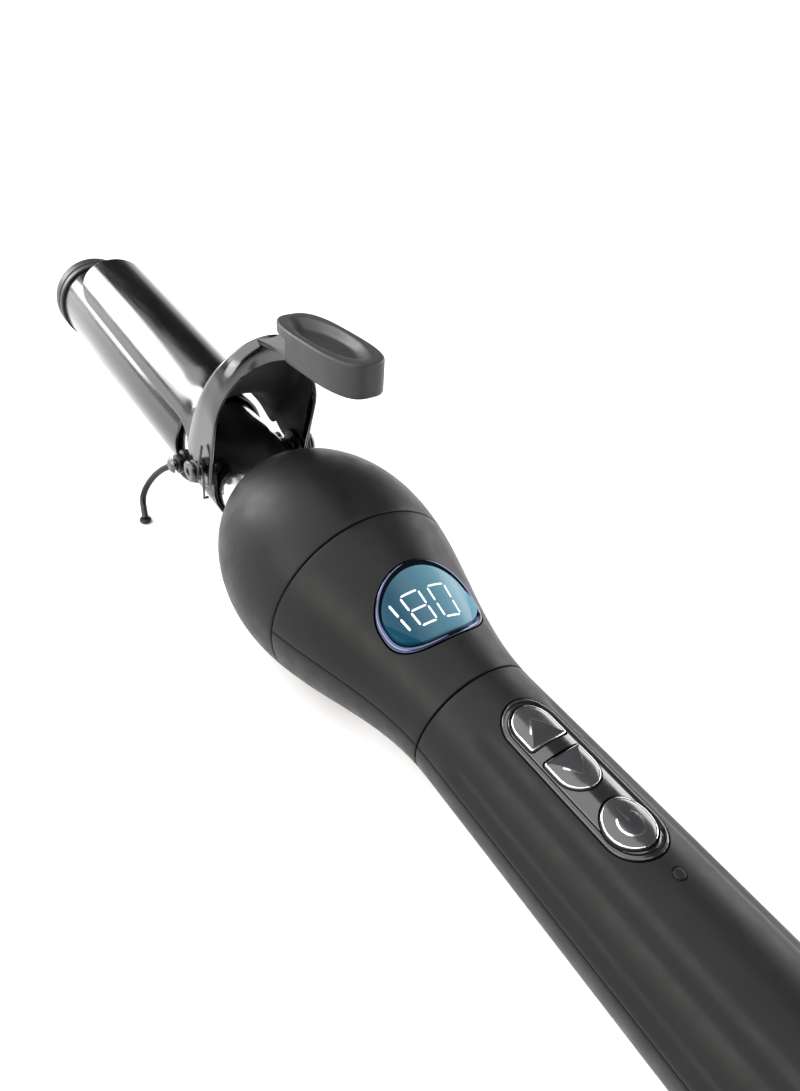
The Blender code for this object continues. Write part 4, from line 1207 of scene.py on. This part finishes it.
def build_pins():
    """Pivot screws of the clamp and rivets of the stand, on both sides."""
    head = 17.0
    face = 16.3
    for name, side in (("left", 1), ("right", -1)):
        screw = lathe(fillet([(11.6, 0, 0), (11.6, 1.4, 0.2), (head, 1.4, 0), (head, 3.0, 0.2),
                              (head + 0.9, 2.6, 0.4), (head + 0.9, 1.1, 0.1), (head + 0.3, 1.0, 0),
                              (head + 0.3, 0, 0)]), 48)
        screw.transform(sideways(PIVOT_X, PIVOT_Z, side))
        publish("pivot_screw_skin_" + name, screw, "fastener_steel", "pivot_screw_" + name)
        rivet = lathe(fillet([(12.1, 0, 0), (12.1, 1.2, 0.2), (face, 1.2, 0), (face, 2.4, 0.1),
                              (face + 0.9, 1.5, 0.5), (face + 0.9, 0, 0)]), 48)
        rivet.transform(sideways(STAND_X, STAND_Z, side))
        publish("stand_rivet_skin_" + name, rivet, "fastener_steel", "stand_rivet_" + name)


def stand_arch(steps):
    """Centre line of the stand's bail: it hugs the barrel from one eye round to the other."""
    reach = radians(80)
    return [(STAND_X + 5 * cos(angle) ** 2, STAND_BAIL_RADIUS * sin(angle),
             -STAND_BAIL_RADIUS * cos(angle)) for angle in spread(-reach, reach, steps)]


def build_stand():
    """Bail, legs, eyes and feet of the wire stand."""
    parts = [tube(stand_arch(61), STAND_WIRE)]
    for side in (1, -1):
        route = [(STAND_X, side * STAND_ARM, STAND_Z), (77.5, side * 16.8, -7.8), (82.6, side * 19, -14.5),
                 (84, side * 21, -20.5), (79.5, side * 22.4, FLOOR_Z + 0.6)]
        parts.append(tube(smooth_route(route, 9), STAND_WIRE))
        eye = lathe(fillet([(13.2, STAND_HOLE, 0.1), (13.2, 2.6, 0.3), (15.2, 2.6, 0.3),
                            (15.2, STAND_HOLE, 0.1)]), 48)
        eye.transform(sideways(STAND_X, STAND_Z, side))
        foot = lathe(fillet([(FLOOR_Z, 0, 0), (FLOOR_Z, 1.7, 0.25), (FLOOR_Z + 0.9, 1.7, 0.4),
                             (FLOOR_Z + 0.9, 0, 0)]), 40)
        foot.transform(upright(FOOT_X, side * FOOT_Y))
        parts += [eye, foot]
    publish("stand_skin", joined(*parts), "black_steel", "stand", "stand_wire")


# ---- stage

def build_camera():
    camera = linked("camera", bpy.data.cameras.new("camera"))
    bpy.context.scene.camera = camera
    flat = cos(CAMERA_PITCH)
    ahead = Vector((cos(CAMERA_YAW) * flat, sin(CAMERA_YAW) * flat, -sin(CAMERA_PITCH)))
    level = Vector((sin(CAMERA_YAW), -cos(CAMERA_YAW), 0))
    upright = level.cross(ahead)
    right = cos(CAMERA_ROLL) * level + sin(CAMERA_ROLL) * upright
    up = cos(CAMERA_ROLL) * upright - sin(CAMERA_ROLL) * level
    turn = Matrix((right, up, -ahead)).transposed().to_4x4()
    camera.matrix_world = Matrix.Translation(CAMERA_PLACE) @ turn
    camera.data.lens = CAMERA_LENS
    camera.data.clip_start = 0.01


def area_light(name, place, target, size, power, tint=(1, 1, 1)):
    light = bpy.data.lights.new(name, "AREA")
    light.shape = "RECTANGLE"
    light.size, light.size_y = size
    light.energy = power
    light.color = tint
    item = linked(name, light)
    item.location = place
    item.rotation_euler = (Vector(target) - Vector(place)).to_track_quat("-Z", "Y").to_euler()


def build_floor():
    """Pale round floor, wide enough to reach the horizon."""
    floor_mesh = bpy.data.meshes.new("floor")
    body = bmesh.new()
    bmesh.ops.create_circle(body, cap_ends=True, segments=64, radius=30)
    body.to_mesh(floor_mesh)
    body.free()
    nodes = Nodes("studio_floor")
    nodes.feed("Base Color", nodes.blend(nodes.noise(4, 2), (0.9, 0.9, 0.9), (0.92, 0.92, 0.92)))
    nodes.set(Roughness=0.9, Specular_IOR_Level=0.1)
    floor_mesh.materials.append(nodes.material)
    floor = linked("floor", floor_mesh)
    floor.location.z = CAD_BOX[0].z - 0.0002


def build_sky():
    """Studio light from all round: white near the horizon and dark above, on a white backdrop."""
    world = bpy.data.worlds.new("studio")
    world.use_nodes = True
    tree = world.node_tree
    direction = tree.nodes.new("ShaderNodeTexCoord")
    split = tree.nodes.new("ShaderNodeSeparateXYZ")
    sky = tree.nodes.new("ShaderNodeValToRGB")
    tree.links.new(direction.outputs["Generated"], split.inputs[0])
    tree.links.new(split.outputs["Z"], sky.inputs["Fac"])
    low, high = sky.color_ramp.elements
    low.position = 0.1
    low.color = (1.0, 1.0, 1.0, 1)
    high.position = 0.24
    high.color = (0.07, 0.07, 0.075, 1)
    backdrop = tree.nodes.new("ShaderNodeMix")
    backdrop.data_type = "RGBA"
    backdrop.inputs[7].default_value = (1.0, 1.0, 1.0, 1)
    tree.links.new(tree.nodes.new("ShaderNodeLightPath").outputs["Is Camera Ray"], backdrop.inputs[0])
    tree.links.new(sky.outputs["Color"], backdrop.inputs[6])
    tree.links.new(backdrop.outputs[2], tree.nodes["Background"].inputs["Color"])
    bpy.context.scene.world = world


def build_lights():
    """A broad sun from above and three softboxes."""
    sun = bpy.data.lights.new("soft_sun", "SUN")
    sun.energy = 4.2
    sun.angle = radians(90)
    linked("soft_sun", sun).rotation_euler = (radians(-22), radians(12), 0)
    area_light("left_softbox", (0.0, 0.75, 0.35), (0, 0, 0.02), (0.9, 0.3), 5, (1, 0.96, 0.9))
    area_light("right_softbox", (-0.15, -0.7, 0.28), (-0.02, 0, 0.03), (1.0, 0.3), 6)
    area_light("front_softbox", (1.14, 0.5, 0.42), (0.06, 0, 0.03), (0.5, 0.62), 12)


# ---- make everything

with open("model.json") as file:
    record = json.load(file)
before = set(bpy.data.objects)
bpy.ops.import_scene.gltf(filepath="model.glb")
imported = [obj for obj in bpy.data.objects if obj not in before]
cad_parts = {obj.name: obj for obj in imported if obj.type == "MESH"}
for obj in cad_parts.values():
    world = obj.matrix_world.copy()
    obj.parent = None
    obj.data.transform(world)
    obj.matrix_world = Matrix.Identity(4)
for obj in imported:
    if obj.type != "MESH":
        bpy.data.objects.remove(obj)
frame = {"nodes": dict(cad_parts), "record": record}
CAD_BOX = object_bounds()
TUBE_LOW, TUBE_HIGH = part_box("barrel_tube")
HOME = Vector((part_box("nose_housing")[0].x - SEAM * MM, 0, (TUBE_LOW.z + TUBE_HIGH.z) / 2))
make_materials()
build_camera()
for part in frame["record"]["subparts"]:
    node = frame["nodes"][part["node"]]
    node.data.materials.clear()
    node.data.materials.append(LOOKS[part["material_slot"]])
build_body()
build_barrel()
build_display()
build_buttons()
build_clamp()
build_bracket()
build_pins()
build_stand()
bpy.context.scene.view_settings.view_transform = "Standard"
build_floor()
build_sky()
build_lights()
